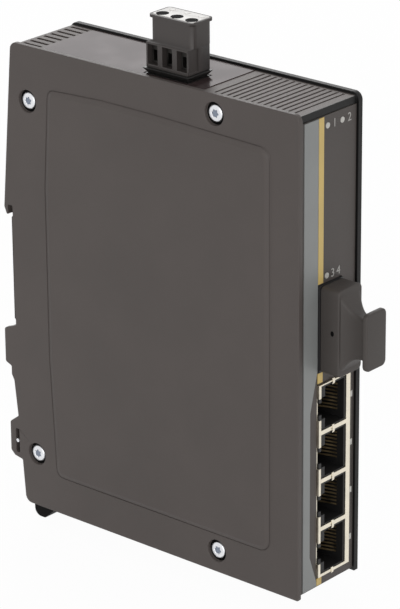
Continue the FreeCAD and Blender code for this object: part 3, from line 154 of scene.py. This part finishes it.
def shellPlasticWithShade(name, colour, rimShade):  # the base shell, with painted shade that makes its far rim and its front edge blacker
    paint = Paint(name)
    cloudy = paint.noise(22, 3)
    fine = paint.noise(0.34, 3, 0.6)
    dark = tuple(part * 0.92 for part in colour[:3]) + (1,)
    shade = paint.blend((cloudy * 0.6 + fine * 0.4).ramp(0.3, 0.7), dark, colour)
    normal = paint.add("ShaderNodeNewGeometry", {}, (), "Normal")
    facing = paint.add("ShaderNodeSeparateXYZ", {}, (normal,), "X")
    # painted shade: the far rim's faces that don't face +X, and the recessed front edge, take the black
    # colour
    farRimShade = paint.axis("X").ramp(11.2 * mm, 11.35 * mm) * facing.ramp(0.5, 0.8, 1.0, 0.0)
    frontEdgeShade = paint.axis("Y").ramp(-100.9 * mm, -100.8 * mm, 1.0, 0.0)
    return paint.finish(Base_Color=paint.blend(farRimShade.calc("MAXIMUM", frontEdgeShade), shade, rimShade),
                        Roughness=fine.ramp(0.3, 0.7, 0.46, 0.58), Normal=paint.bump(fine, 0.018, 0.6))


def metalFinish(name, colour, roughness=0.3, grain=0.5, stretch=(1, 1, 1), depth=0.004):
    paint = Paint(name)
    streak = paint.noise(grain, 4, 0.6, stretch)
    stain = paint.noise(3, 3)
    dark = tuple(part * 0.86 for part in colour[:3]) + (1,)
    shade = paint.blend((streak * 0.5 + stain * 0.5).ramp(0.35, 0.65), dark, colour)
    return paint.finish(Base_Color=shade, Metallic=1.0,
                        Roughness=stain.ramp(0.3, 0.7, roughness * 0.8, roughness * 1.25),
                        Normal=paint.bump(streak, depth, 0.5))


def printedFilm(name, colour, roughness=0.38):
    paint = Paint(name)
    fine = paint.noise(0.12, 2)
    cloudy = paint.noise(14, 2)
    dark = tuple(part * 0.93 for part in colour[:3]) + (1,)
    shade = paint.blend(cloudy.ramp(0.35, 0.65), dark, colour)
    return paint.finish(Base_Color=shade, Roughness=cloudy.ramp(0.3, 0.7, roughness - 0.05, roughness + 0.05),
                        Normal=paint.bump(fine, 0.006, 0.5))


def boardMask(name):  # green lacquer over copper tracks
    paint = Paint(name)
    across = paint.add("ShaderNodeTexBrick", {"offset": 0.37, "squash": 0.6, "squash_frequency": 3},
                       {"Vector": paint.add("ShaderNodeMapping", {}, {"Vector": paint.place,
                                                                      "Rotation": (0, math.pi / 2, 0)}),
                        "Scale": 240.0, "Mortar Size": 0.06, "Mortar Smooth": 0.2, "Bias": 0.0}, 1)
    cloudy = paint.noise(9, 3)
    track = paint.blend(across * 0.75, tint(22, 82, 48), tint(52, 124, 70))
    shade = paint.blend(cloudy.ramp(0.3, 0.8, 0.0, 0.3), track, tint(12, 58, 34))
    return paint.finish(Base_Color=shade, Roughness=cloudy.ramp(0.3, 0.7, 0.28, 0.42),
                        Normal=paint.bump(across, 0.03, 0.5))


def clearPlastic(name, colour, roughness=0.25):
    paint = Paint(name)
    cloudy = paint.noise(0.8, 2)
    dark = tuple(part * 0.8 for part in colour[:3]) + (1,)
    return paint.finish(Base_Color=paint.blend(cloudy, dark, colour), Roughness=roughness,
                        Normal=paint.bump(cloudy, 0.01, 0.4))


finishes = {
    "housing": mouldedPlastic("housingPlastic", tint(77, 70, 67), 0.56, 0.34, 0.018),
    "front": mouldedPlastic("frontPlastic", tint(69, 63, 60), 0.54, 0.3, 0.012),
    "label": printedFilm("stripFilm", tint(139, 141, 140)),
    "print": mouldedPlastic("printedInk", tint(172, 170, 166), 0.5, 0.2, 0.002),
    # the clamp cages' steel is darkened with painted shade of their recess in the plug windows
    "cage": metalFinish("cageSteelShaded", tint(70, 68, 66), 0.5),
    "hollow": mouldedPlastic("hollowShade", tint(8, 8, 8), 0.8, 0.3, 0.01),
    "accent": printedFilm("accentFilm", tint(212, 184, 112)),
    "top_label": printedFilm("topLabelFilm", tint(66, 54, 54), 0.12),
    "steel": metalFinish("zincSteel", tint(238, 239, 242), 0.36),
    # the drive colour is a darker metal used as painted shade in the screw recesses
    "drive": metalFinish("driveRecessShade", tint(142, 150, 164), 0.55),
    "shield": metalFinish("nickelSheet", tint(238, 230, 212), 0.36),
    "insert": mouldedPlastic("insertNylon", tint(14, 13, 13), 0.55, 0.2, 0.006),
    "gold": metalFinish("goldPlate", tint(128, 112, 84), 0.5),
    "transceiver": mouldedPlastic("transceiverShell", tint(44, 43, 44), 0.42, 0.25, 0.008),
    "ceramic": clearPlastic("whiteCeramic", tint(236, 234, 226), 0.2),
    "rubber": mouldedPlastic("capRubber", tint(64, 59, 56), 0.6, 0.25, 0.012),
    "clear": clearPlastic("lightPipe", tint(206, 204, 198)),
    "led": clearPlastic("ledResin", tint(214, 220, 180)),
    "board": boardMask("boardMask"),
    "chip": mouldedPlastic("chipEpoxy", tint(34, 34, 35), 0.45, 0.2, 0.008),
    "pad": mouldedPlastic("thermalPad", tint(132, 138, 150), 0.8, 0.4, 0.03),
    "heatsink": metalFinish("extrudedAluminium", tint(190, 190, 194), 0.4, 0.8, (1, 1, 0.04)),
    "magnetics": mouldedPlastic("magneticsEpoxy", tint(30, 30, 30), 0.4, 0.2, 0.008),
    "can": metalFinish("aluminiumCan", tint(196, 197, 202), 0.34),
    "ferrite": mouldedPlastic("ferriteResin", tint(52, 52, 56), 0.7, 0.3, 0.03),
    "tape": printedFilm("windingTape", tint(206, 178, 74)),
    "header": mouldedPlastic("headerNylon", tint(31, 30, 29), 0.45, 0.25, 0.008),
    "plug": mouldedPlastic("terminalNylon", tint(59, 54, 52), 0.5, 0.28, 0.01),
    "marker": mouldedPlastic("markerPlate", tint(238, 236, 233), 0.5, 0.3, 0.006),
    "latch": mouldedPlastic("latchNylon", tint(12, 11, 11), 0.6, 0.3, 0.012),
    "spring": metalFinish("springWire", tint(188, 190, 194), 0.28, 0.3),
}


def setGloss(material, level):
    material.node_tree.nodes["Principled BSDF"].inputs["Specular IOR Level"].default_value = level


labelSheen = (1, 0.9, 0.91, 1)
for name, level in (("hollow", 0.08), ("latch", 0.08), ("top_label", 1.0)):
    setGloss(finishes[name], level)
finishes["top_label"].node_tree.nodes["Principled BSDF"].inputs["Specular Tint"].default_value = labelSheen
slotOf = {part["node"]: part["material_slot"] for part in frame["record"]["subparts"]}
for name, thing in nodes.items():
    thing.data.materials.clear()
    thing.data.materials.append(finishes[slotOf[name]])
# the second colour is the painted shade on the far rim and the front edge
rearShellShaded = shellPlasticWithShade("baseShellPlasticShaded", tint(90, 82, 79), tint(9, 8, 8))
setGloss(rearShellShaded, 0.3)
nodes["base_shell"].data.materials[0] = rearShellShaded
nodes["clamp_cages"].data.materials[0] = finishes["cage"]
print("finishes made")


# mesh helpers

def addPiece(name, mesh, body="housing", slot=None, replaced=(), material=None):
    thing = bpy.data.objects.new(name, mesh)
    bpy.context.scene.collection.objects.link(thing)
    mesh.materials.clear()
    mesh.materials.append(material or finishes[slot])
    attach(thing, body)
    if replaced:
        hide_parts(*replaced)
    return thing


def bake(thing):  # the evaluated mesh, with the modifiers gone
    bpy.context.view_layer.update()
    graph = bpy.context.evaluated_depsgraph_get()
    mesh = bpy.data.meshes.new_from_object(thing.evaluated_get(graph))
    bpy.data.objects.remove(thing)
    return mesh


def loose(mesh, name="loose"):
    thing = bpy.data.objects.new(name, mesh)
    bpy.context.scene.collection.objects.link(thing)
    return thing


# rounded edges: width and height limit in millimetres, angles in degrees

rounding = {
    "left_cover": {"width": 0.25}, "front_plate": {"width": 0.1}, "header_collar": {"width": 0.12},
    "jack_insert": {"width": 0.08}, "jack_shield": {"width": 0.05},
    "terminal_plug": {"width": 0.15, "angle": 42, "below": 73.05},  # its upper block stays as it is
    "base_shell": {"width": 0.08, "material": rearShellShaded}, "rail_latch": {"width": 0.3, "body": "latch"},
}


def softenNode(node, width, angle=20, below=1000, body="housing", material=None):
    form = bmesh.new()
    form.from_mesh(nodes[node].data)
    bmesh.ops.remove_doubles(form, verts=form.verts, dist=0.0005 * mm)
    weight = form.edges.layers.float.new("bevel_weight_edge")
    for edge in form.edges:
        low = max(vert.co.z for vert in edge.verts) < below * mm
        edge[weight] = low and len(edge.link_faces) == 2 and edge.calc_face_angle() > math.radians(angle)
    mesh = bpy.data.meshes.new(node + "Soft")
    form.to_mesh(mesh)
    form.free()
    mesh.shade_smooth()
    thing = loose(mesh)
    bevel = thing.modifiers.new("edge", "BEVEL")
    bevel.width = width * mm
    bevel.segments = 2
    bevel.limit_method = "WEIGHT"
    bevel.use_clamp_overlap = False
    bevel.loop_slide = False
    bevel.miter_outer = "MITER_ARC"
    mesh = bake(thing)
    mesh.set_sharp_from_angle(angle=math.radians(50))
    thing = loose(mesh)
    flat = thing.modifiers.new("flat", "WEIGHTED_NORMAL")
    flat.weight = 80
    flat.keep_sharp = True
    return addPiece(node + "Soft", bake(thing), body, slotOf[node], [node], material)


for node, settings in rounding.items():
    softenNode(node, **settings)
print("edges rounded")


# repeats: one tree that sets a small form on every point

def scatterTree():
    tree = bpy.data.node_groups.new("setOnPoints", "GeometryNodeTree")
    face = tree.interface
    face.new_socket("Points", in_out="INPUT", socket_type="NodeSocketGeometry")
    face.new_socket("Form", in_out="INPUT", socket_type="NodeSocketObject")
    face.new_socket("Finish", in_out="INPUT", socket_type="NodeSocketMaterial")
    face.new_socket("Turn", in_out="INPUT", socket_type="NodeSocketFloat")
    face.new_socket("Result", in_out="OUTPUT", socket_type="NodeSocketGeometry")
    start = tree.nodes.new("NodeGroupInput")
    end = tree.nodes.new("NodeGroupOutput")
    form = tree.nodes.new("GeometryNodeObjectInfo")
    spin = tree.nodes.new("FunctionNodeRandomValue")
    spin.data_type = "FLOAT"
    spin.inputs["Seed"].default_value = 7
    angles = tree.nodes.new("ShaderNodeCombineXYZ")
    instances = tree.nodes.new("GeometryNodeInstanceOnPoints")
    whole = tree.nodes.new("GeometryNodeRealizeInstances")
    finish = tree.nodes.new("GeometryNodeSetMaterial")
    link = tree.links.new
    link(start.outputs["Form"], form.inputs["Object"])
    link(start.outputs["Turn"], spin.inputs[3])
    link(spin.outputs[1], angles.inputs["X"])
    link(start.outputs["Points"], instances.inputs["Points"])
    link(form.outputs["Geometry"], instances.inputs["Instance"])
    link(angles.outputs[0], instances.inputs["Rotation"])
    link(instances.outputs[0], whole.inputs[0])
    link(whole.outputs[0], finish.inputs["Geometry"])
    link(start.outputs["Finish"], finish.inputs["Material"])
    link(finish.outputs[0], end.inputs[0])
    return tree


pointTree = scatterTree()


def scatter(name, form, points, material, turn=0.0):  # points in millimetres; gives the joined plain mesh
    spots = bpy.data.meshes.new(name + "Points")
    spots.from_pydata([Vector(point) * mm for point in points], [], [])
    stamp = loose(form, name + "Form")
    thing = loose(spots, name)
    modifier = thing.modifiers.new("set", "NODES")
    modifier.node_group = pointTree
    settings = {"Form": stamp, "Finish": material, "Turn": turn}
    for socket in pointTree.interface.items_tree:
        if socket.in_out == "INPUT" and socket.name in settings:
            modifier[socket.identifier] = settings[socket.name]
    mesh = bake(thing)
    bpy.data.objects.remove(stamp)
    return mesh


def formMesh(name, rings, smooth=40, closed=True):  # rings of points in millimetres, joined in order
    form = bmesh.new()
    rows = [[form.verts.new(Vector(point) * mm) for point in ring] for ring in rings]
    count = len(rows[0])
    for low, high in zip(rows, rows[1:]):
        for i in range(count):
            form.faces.new((low[i], low[(i + 1) % count], high[(i + 1) % count], high[i]))
    if closed:
        form.faces.new(rows[0][::-1])
        form.faces.new(rows[-1])
    bmesh.ops.recalc_face_normals(form, faces=form.faces)
    mesh = bpy.data.meshes.new(name)
    form.to_mesh(mesh)
    form.free()
    mesh.shade_smooth()
    mesh.set_sharp_from_angle(angle=math.radians(smooth))
    return mesh


def joinMeshes(name, meshes):
    form = bmesh.new()
    for mesh in meshes:
        form.from_mesh(mesh)
    whole = bpy.data.meshes.new(name)
    form.to_mesh(whole)
    form.free()
    return whole


# cover screws: domed heads with a six-lobed recess

screw = {"places": ((-7.1, 49.6), (-7.1, -55.0), (-73.6, 60.0), (-73.6, -64.7)), "seat": -11.8,
         "radius": 2.35, "height": 0.75, "dishShade": 3.15, "drive": 1.05, "depth": 0.3, "steps": 48}


def buildScrewHeads():
    def ring(radius, x, lobes=0.0):
        points = []
        for i in range(screw["steps"]):
            a = 2 * math.pi * i / screw["steps"]
            reach = radius + lobes * math.cos(6 * a)
            points.append((x, reach * math.cos(a), reach * math.sin(a)))
        return points
    wide, tall, drive = screw["radius"], screw["height"], screw["drive"]
    head = formMesh("screwHead", [
        ring(wide, 0), ring(wide, -tall * 0.45), ring(wide * 0.95, -tall * 0.7),
        ring(wide * 0.84, -tall * 0.88), ring(wide * 0.68, -tall * 0.97),
        ring(drive * 1.12, -tall, 0.13), ring(drive, -tall * 0.93, 0.17),
        ring(drive * 0.94, -tall + screw["depth"], 0.17)], 50)
    places = [(screw["seat"], y, z) for y, z in screw["places"]]
    # painted shade: a black disc on the dish floor round each head darkens the recess
    dishShade = formMesh("screwDishShade", [ring(screw["dishShade"], 0), ring(screw["dishShade"], -0.08)], 50)
    # painted shade: a darker grey-blue metal disc at the floor of the six-lobed recess
    floor = formMesh("screwDriveShade", [ring(drive * 0.9, -tall + screw["depth"] + 0.05, 0.15),
                                    ring(drive * 0.9, -tall + screw["depth"] - 0.1, 0.15)], 50)
    driveShades = scatter("screwDrives", floor, places, finishes["drive"], 1.0)
    addPiece("screwDrives", driveShades, material=finishes["drive"])
    dishShades = scatter("screwSeals", dishShade, places, finishes["hollow"])
    addPiece("screwSeals", dishShades, material=finishes["hollow"])
    addPiece("screwHeads", scatter("screwHeads", head, places, finishes["steel"], 1.0), slot="steel",
             replaced=["cover_screws"])


buildScrewHeads()


# dust guard set in the top vents

guard = {"x": (-10.3, 10.3), "y": (-98.3, -70.6), "z": (63.9, 64.33), "pitch": 1.1, "ridge": 0.05}


def buildGuard():
    low, high = guard["x"]
    count = round((guard["y"][1] - guard["y"][0]) / guard["pitch"])
    rings = []
    for i in range(count * 2 + 1):
        y = guard["y"][0] + i * guard["pitch"] / 2
        top = guard["z"][1] + (guard["ridge"] if i % 2 else 0)
        rings.append([(low, y, guard["z"][0]), (high, y, guard["z"][0]), (high, y, top), (low, y, top)])
    addPiece("dustGuard", formMesh("dustGuard", rings, 20), slot="housing")


buildGuard()


# jack contacts and the spring tabs of the shield

jack = {"middles": (-60.3, -46.3, -32.3, -18.3), "contacts": 8, "pitch": 1.02, "wide": 0.42, "thick": 0.24,
        "root": (6.5, -99.5), "reach": 8.2, "lift": 3.0, "tab": (0.9, 1.6), "tabX": 1.6, "tabFace": -102.0,
        "tabOut": 6.65, "tabRise": 0.22, "tabThick": 0.18}


def buildContacts():
    def section(t):
        y = jack["root"][1] + jack["reach"] * t
        x = jack["root"][0] - jack["lift"] * t ** 1.4
        half = jack["wide"] / 2
        return [(x, y, -half), (x, y, half), (x - jack["thick"], y, half), (x - jack["thick"], y, -half)]
    wire = formMesh("contactWire", [section(i / 10) for i in range(11)], 30)
    last = jack["contacts"] - 1
    places = [(0, 0, middle + (n - last / 2) * jack["pitch"])
              for middle in jack["middles"] for n in range(last + 1)]
    addPiece("contactWires", scatter("contactWires", wire, places, finishes["gold"]), slot="gold",
             replaced=["jack_contacts"])


buildContacts()


def buildShieldTabs():
    wide, tall = jack["tab"]

    def section(t):
        y = jack["tabFace"] - jack["tabRise"] * math.sin(math.pi * t)
        z = tall * (t - 0.5)
        back = y + jack["tabThick"]
        return [(-wide / 2, y, z), (wide / 2, y, z), (wide / 2, back, z), (-wide / 2, back, z)]
    tab = formMesh("shieldTab", [section(i / 8) for i in range(9)], 30)
    places = [(jack["tabX"], 0, middle + side * jack["tabOut"])
              for middle in jack["middles"] for side in (-1, 1)]
    addPiece("shieldTabs", scatter("shieldTabs", tab, places, finishes["shield"]), slot="shield")


buildShieldTabs()
print("small metal set")


# rubber cap: block, curved neck that leans, and a grip plate

cap = {"middle": (0.65, 4.5), "back": -101.95, "block": (4.85, 12.1, 6.3), "blockRound": 1.3,
       "neckEnd": (2.0, 5.8), "neck": 7.8, "lean": 2.2, "grip": (4.15, 8.0, 1.6), "gripLean": 1.0,
       "gripRound": 1.5, "edge": 0.45, "plug": (3.45, 4.25, 8.0), "plugPitch": 12.7,
       "hole": (0.55, 0.75), "holeBack": 2.2}


def roundedRing(x, z, y, halfX, halfZ, corner, steps=6):
    corner = min(corner, halfX - 0.01, halfZ - 0.01)
    ring = []
    for quarter, (sx, sz) in enumerate(((1, 1), (-1, 1), (-1, -1), (1, -1))):
        for i in range(steps + 1):
            a = math.pi / 2 * (quarter + i / steps)
            ring.append((x + sx * (halfX - corner) + corner * math.cos(a), y,
                         z + sz * (halfZ - corner) + corner * math.sin(a)))
    return ring


def roundedBlock(name, x, z, back, front, halfX, halfZ, corner, edge, cut=4):
    rings = []
    for i in range(cut + 1):
        a = math.pi / 2 * i / cut
        inset, off = edge * (1 - math.sin(a)), edge * (1 - math.cos(a))
        rings.append(roundedRing(x, z, back - off, halfX - inset, halfZ - inset, corner))
    for i in range(cut + 1):
        a = math.pi / 2 * i / cut
        inset, off = edge * (1 - math.cos(a)), edge * (1 - math.sin(a))
        rings.append(roundedRing(x, z, front + off, halfX - inset, halfZ - inset, corner))
    return formMesh(name, rings)


def buildCap():
    x, z = cap["middle"]
    halfX, halfZ, deep = cap["block"]
    face = cap["back"] - deep
    parts = [roundedBlock("capBlock", x, z, cap["back"], face, halfX, halfZ, cap["blockRound"],
                          cap["edge"])]
    rings = []
    for i in range(17):
        t = i / 16
        wide = cap["neckEnd"][0] + (halfX - 0.5 - cap["neckEnd"][0]) * (1 - t) ** 2.6
        tall = cap["neckEnd"][1] + (halfZ - 1.2 - cap["neckEnd"][1]) * (1 - t) ** 3
        y = face + 0.3 - (cap["neck"] + 0.5) * t
        rings.append(roundedRing(x - cap["lean"] * t ** 1.1, z, y, wide, tall, 1.1))
    parts.append(formMesh("capNeck", rings))
    gripX, gripZ, thick = cap["grip"]
    root = face - cap["neck"]
    parts.append(roundedBlock("capGrip", x - cap["gripLean"], z, root, root - thick, gripX, gripZ,
                              cap["gripRound"], cap["edge"]))
    plugX, plugZ, long = cap["plug"]
    for side in (-0.5, 0.5):
        parts.append(roundedBlock("capPlug", x, z + side * cap["plugPitch"], cap["back"] + long,
                                  cap["back"] - 0.2, plugX, plugZ, 0.8, 0.3))
    addPiece("rubberCap", joinMeshes("rubberCap", parts), slot="rubber", replaced=["dust_cap"])
    # painted shade: the hole in the block's side is a flat black disc
    holeY, holeZ = cap["hole"]
    angles = [2 * math.pi * i / 20 for i in range(20)]
    hole = [[(x - halfX - out, face + cap["holeBack"] + holeY * math.cos(a), z + holeZ * math.sin(a))
             for a in angles] for out in (-0.04, 0.04)]
    addPiece("capHole", formMesh("capHole", hole), material=finishes["hollow"])


buildCap()
print("cap made")


# marker plate on the terminal: three screwdriver openings drawn as black discs of painted shade, and three
# raised buttons

marker = {"x": (-6.35, 0.9), "y": (-60.9, -46.75), "z": (80.3, 80.46), "corner": 0.7,
          "poles": (-59.15, -54.1, -49.05),
          "openings": (-4.6, 1.75, 0.02), "buttons": (-0.6, 0.95, 0.17)}  # each: x, radius, rise


def turnedRing(z, radius, steps=28):
    angles = [2 * math.pi * i / steps for i in range(steps)]
    return [(radius * math.cos(a), radius * math.sin(a), z) for a in angles]


def buildMarker():
    (x0, x1), (y0, y1), (z0, z1) = marker["x"], marker["y"], marker["z"]
    plate = []
    for inset, z in ((0, z0), (0, z1 - 0.08), (0.08, z1)):
        halfX, halfY = (x1 - x0) / 2 - inset, (y1 - y0) / 2 - inset
        ring = roundedRing((x0 + x1) / 2, (y0 + y1) / 2, 0, halfX, halfY, marker["corner"])
        plate.append([(x, y, z) for x, _, y in ring])
    addPiece("markerPlate", formMesh("markerPlate", plate), slot="marker", replaced=["terminal_marker"])
    # the openings are flat black discs: painted shade in place of the holes' depth
    for name, material in (("openings", "hollow"), ("buttons", "marker")):
        x, radius, rise = marker[name]
        disc = formMesh(name, [turnedRing(z1 - 0.1, radius), turnedRing(z1 + rise * 0.7, radius),
                               turnedRing(z1 + rise, radius * 0.88)], 50)
        places = [(x, y, 0) for y in marker["poles"]]
        mesh = scatter("marker" + name.title(), disc, places, finishes[material])
        addPiece("marker" + name.title(), mesh, material=finishes[material])


buildMarker()


# digits beside the lamps

digits = {"size": 3.3, "face": -101.32, "thick": 0.015,
          "marks": (("1", 2.2, 59.6), ("2", 8.3, 59.6), ("3", 1.8, 18.6), ("4", 4.2, 18.6))}


def buildDigits():
    meshes = []
    for word, x, z in digits["marks"]:
        text = bpy.data.curves.new("digit" + word, "FONT")
        text.body = word
        text.size = digits["size"] * mm
        text.extrude = digits["thick"] * mm
        text.align_x = "CENTER"
        text.align_y = "CENTER"
        thing = bpy.data.objects.new("digit" + word, text)
        bpy.context.scene.collection.objects.link(thing)
        mesh = bake(thing)
        place = Matrix.Translation(Vector((x, digits["face"], z)) * mm)
        mesh.transform(place @ Matrix.Rotation(math.pi / 2, 4, "X"))
        meshes.append(mesh)
    addPiece("lampDigits", joinMeshes("lampDigits", meshes), material=finishes["print"])


buildDigits()


# rail latch spring as round wire

coil = {"radius": 1.45, "wire": 0.25, "turns": 7, "steps": 16, "low": -43.9, "long": 17.0, "travel": 3.0,
        "y": -2.5}


def buildSpring():
    total = coil["turns"] * coil["steps"]
    line = bpy.data.curves.new("springWire", "CURVE")
    line.dimensions = "3D"
    run = line.splines.new("NURBS")
    run.points.add(total)
    rise = coil["long"] - 2 * coil["wire"]
    for i in range(total + 1):
        a = 2 * math.pi * i / coil["steps"]
        place = Vector((coil["radius"] * math.cos(a), coil["y"] + coil["radius"] * math.sin(a),
                        coil["low"] + coil["wire"] + rise * i / total)) * mm
        run.points[i].co = (*place, 1)
    run.order_u = 4
    run.use_endpoint_u = True
    line.bevel_depth = coil["wire"] * mm
    line.bevel_resolution = 3
    line.use_fill_caps = True
    thing = bpy.data.objects.new("springWire", line)
    bpy.context.scene.collection.objects.link(thing)
    spring = addPiece("latchCoil", bake(thing), slot="spring", replaced=["latch_spring"])
    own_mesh(spring)


buildSpring()
print("spring wound")


# floor, light and camera

stage = {"floor": 3.0, "white": 0.97, "key": 5.0, "fill": 22.0, "world": 0.48}


def buildStage():
    low = cadBox[0]
    form = bmesh.new()
    half = stage["floor"]
    signs = ((-1, -1), (1, -1), (1, 1), (-1, 1))
    corners = [form.verts.new((x * half, y * half, low[2])) for x, y in signs]
    form.faces.new(corners)
    mesh = bpy.data.meshes.new("floor")
    form.to_mesh(mesh)
    form.free()
    floor = loose(mesh, "floor")
    paint = Paint("paleFloor")
    rays = [paint.add("ShaderNodeLightPath", {}, (), name) for name in ("Is Camera Ray", "Is Glossy Ray")]
    seen = rays[0].calc("MAXIMUM", rays[1])
    pale = {"Base Color": (0.86, 0.86, 0.86, 1), "Roughness": 0.9}
    matt = paint.add("ShaderNodeBsdfPrincipled", {}, pale)
    white = paint.add("ShaderNodeEmission", {}, {"Color": (1, 1, 1, 1), "Strength": 1.0})
    paint.close(paint.add("ShaderNodeMixShader", {}, (seen * stage["white"], matt, white)))
    mesh.materials.append(paint.material)

    world = bpy.data.worlds.new("studio")
    bpy.context.scene.world = world
    world.use_nodes = True
    tree = world.node_tree
    tree.nodes.clear()
    path = tree.nodes.new("ShaderNodeLightPath")
    ambient = tree.nodes.new("ShaderNodeBackground")
    ambient.inputs[0].default_value = (1, 1, 1, 1)
    ambient.inputs[1].default_value = stage["world"]
    white = tree.nodes.new("ShaderNodeBackground")
    white.inputs[0].default_value = (1, 1, 1, 1)
    mix = tree.nodes.new("ShaderNodeMixShader")
    end = tree.nodes.new("ShaderNodeOutputWorld")
    seen = tree.nodes.new("ShaderNodeMath")
    seen.operation = "MAXIMUM"
    tree.links.new(path.outputs["Is Camera Ray"], seen.inputs[0])
    tree.links.new(path.outputs["Is Glossy Ray"], seen.inputs[1])
    tree.links.new(seen.outputs[0], mix.inputs[0])
    tree.links.new(ambient.outputs[0], mix.inputs[1])
    tree.links.new(white.outputs[0], mix.inputs[2])
    tree.links.new(mix.outputs[0], end.inputs[0])


def addLamp(name, place, aim, size, power):
    lamp = bpy.data.lights.new(name, "AREA")
    lamp.size = size
    lamp.energy = power
    thing = bpy.data.objects.new(name, lamp)
    bpy.context.scene.collection.objects.link(thing)
    turn = (Vector(aim) - Vector(place)).to_track_quat("-Z", "Y")
    thing.matrix_world = Matrix.Translation(place) @ turn.to_matrix().to_4x4()


camera = {"turn": -49.21, "rise": 21.68, "roll": -0.475, "aim": (8.43, -49.92, -5.32),
          "distance": 905.7, "lens": 195.7}


def buildCamera():
    turn, rise = math.radians(camera["turn"]), math.radians(camera["rise"])
    back = Vector((math.sin(turn) * math.cos(rise), -math.cos(turn) * math.cos(rise), math.sin(rise)))
    aim = Vector(camera["aim"]) * mm
    lens = bpy.data.cameras.new("view")
    lens.lens = camera["lens"]
    lens.sensor_width = 36
    lens.clip_start = 0.01
    thing = bpy.data.objects.new("view", lens)
    bpy.context.scene.collection.objects.link(thing)
    look = back.to_track_quat("Z", "Y").to_matrix().to_4x4()
    roll = Matrix.Rotation(math.radians(camera["roll"]), 4, "Z")
    thing.matrix_world = Matrix.Translation(aim + back * camera["distance"] * mm) @ look @ roll
    bpy.context.scene.camera = thing


buildStage()
lampAim = (0, -0.05, 0)
addLamp("key", (0.75, 0.65, 0.8), lampAim, 0.35, stage["key"])
addLamp("fill", (-1.8, -1.5, 0.55), lampAim, 1.6, stage["fill"])
buildCamera()
bpy.context.scene.view_settings.view_transform = "Standard"
print("stage set")
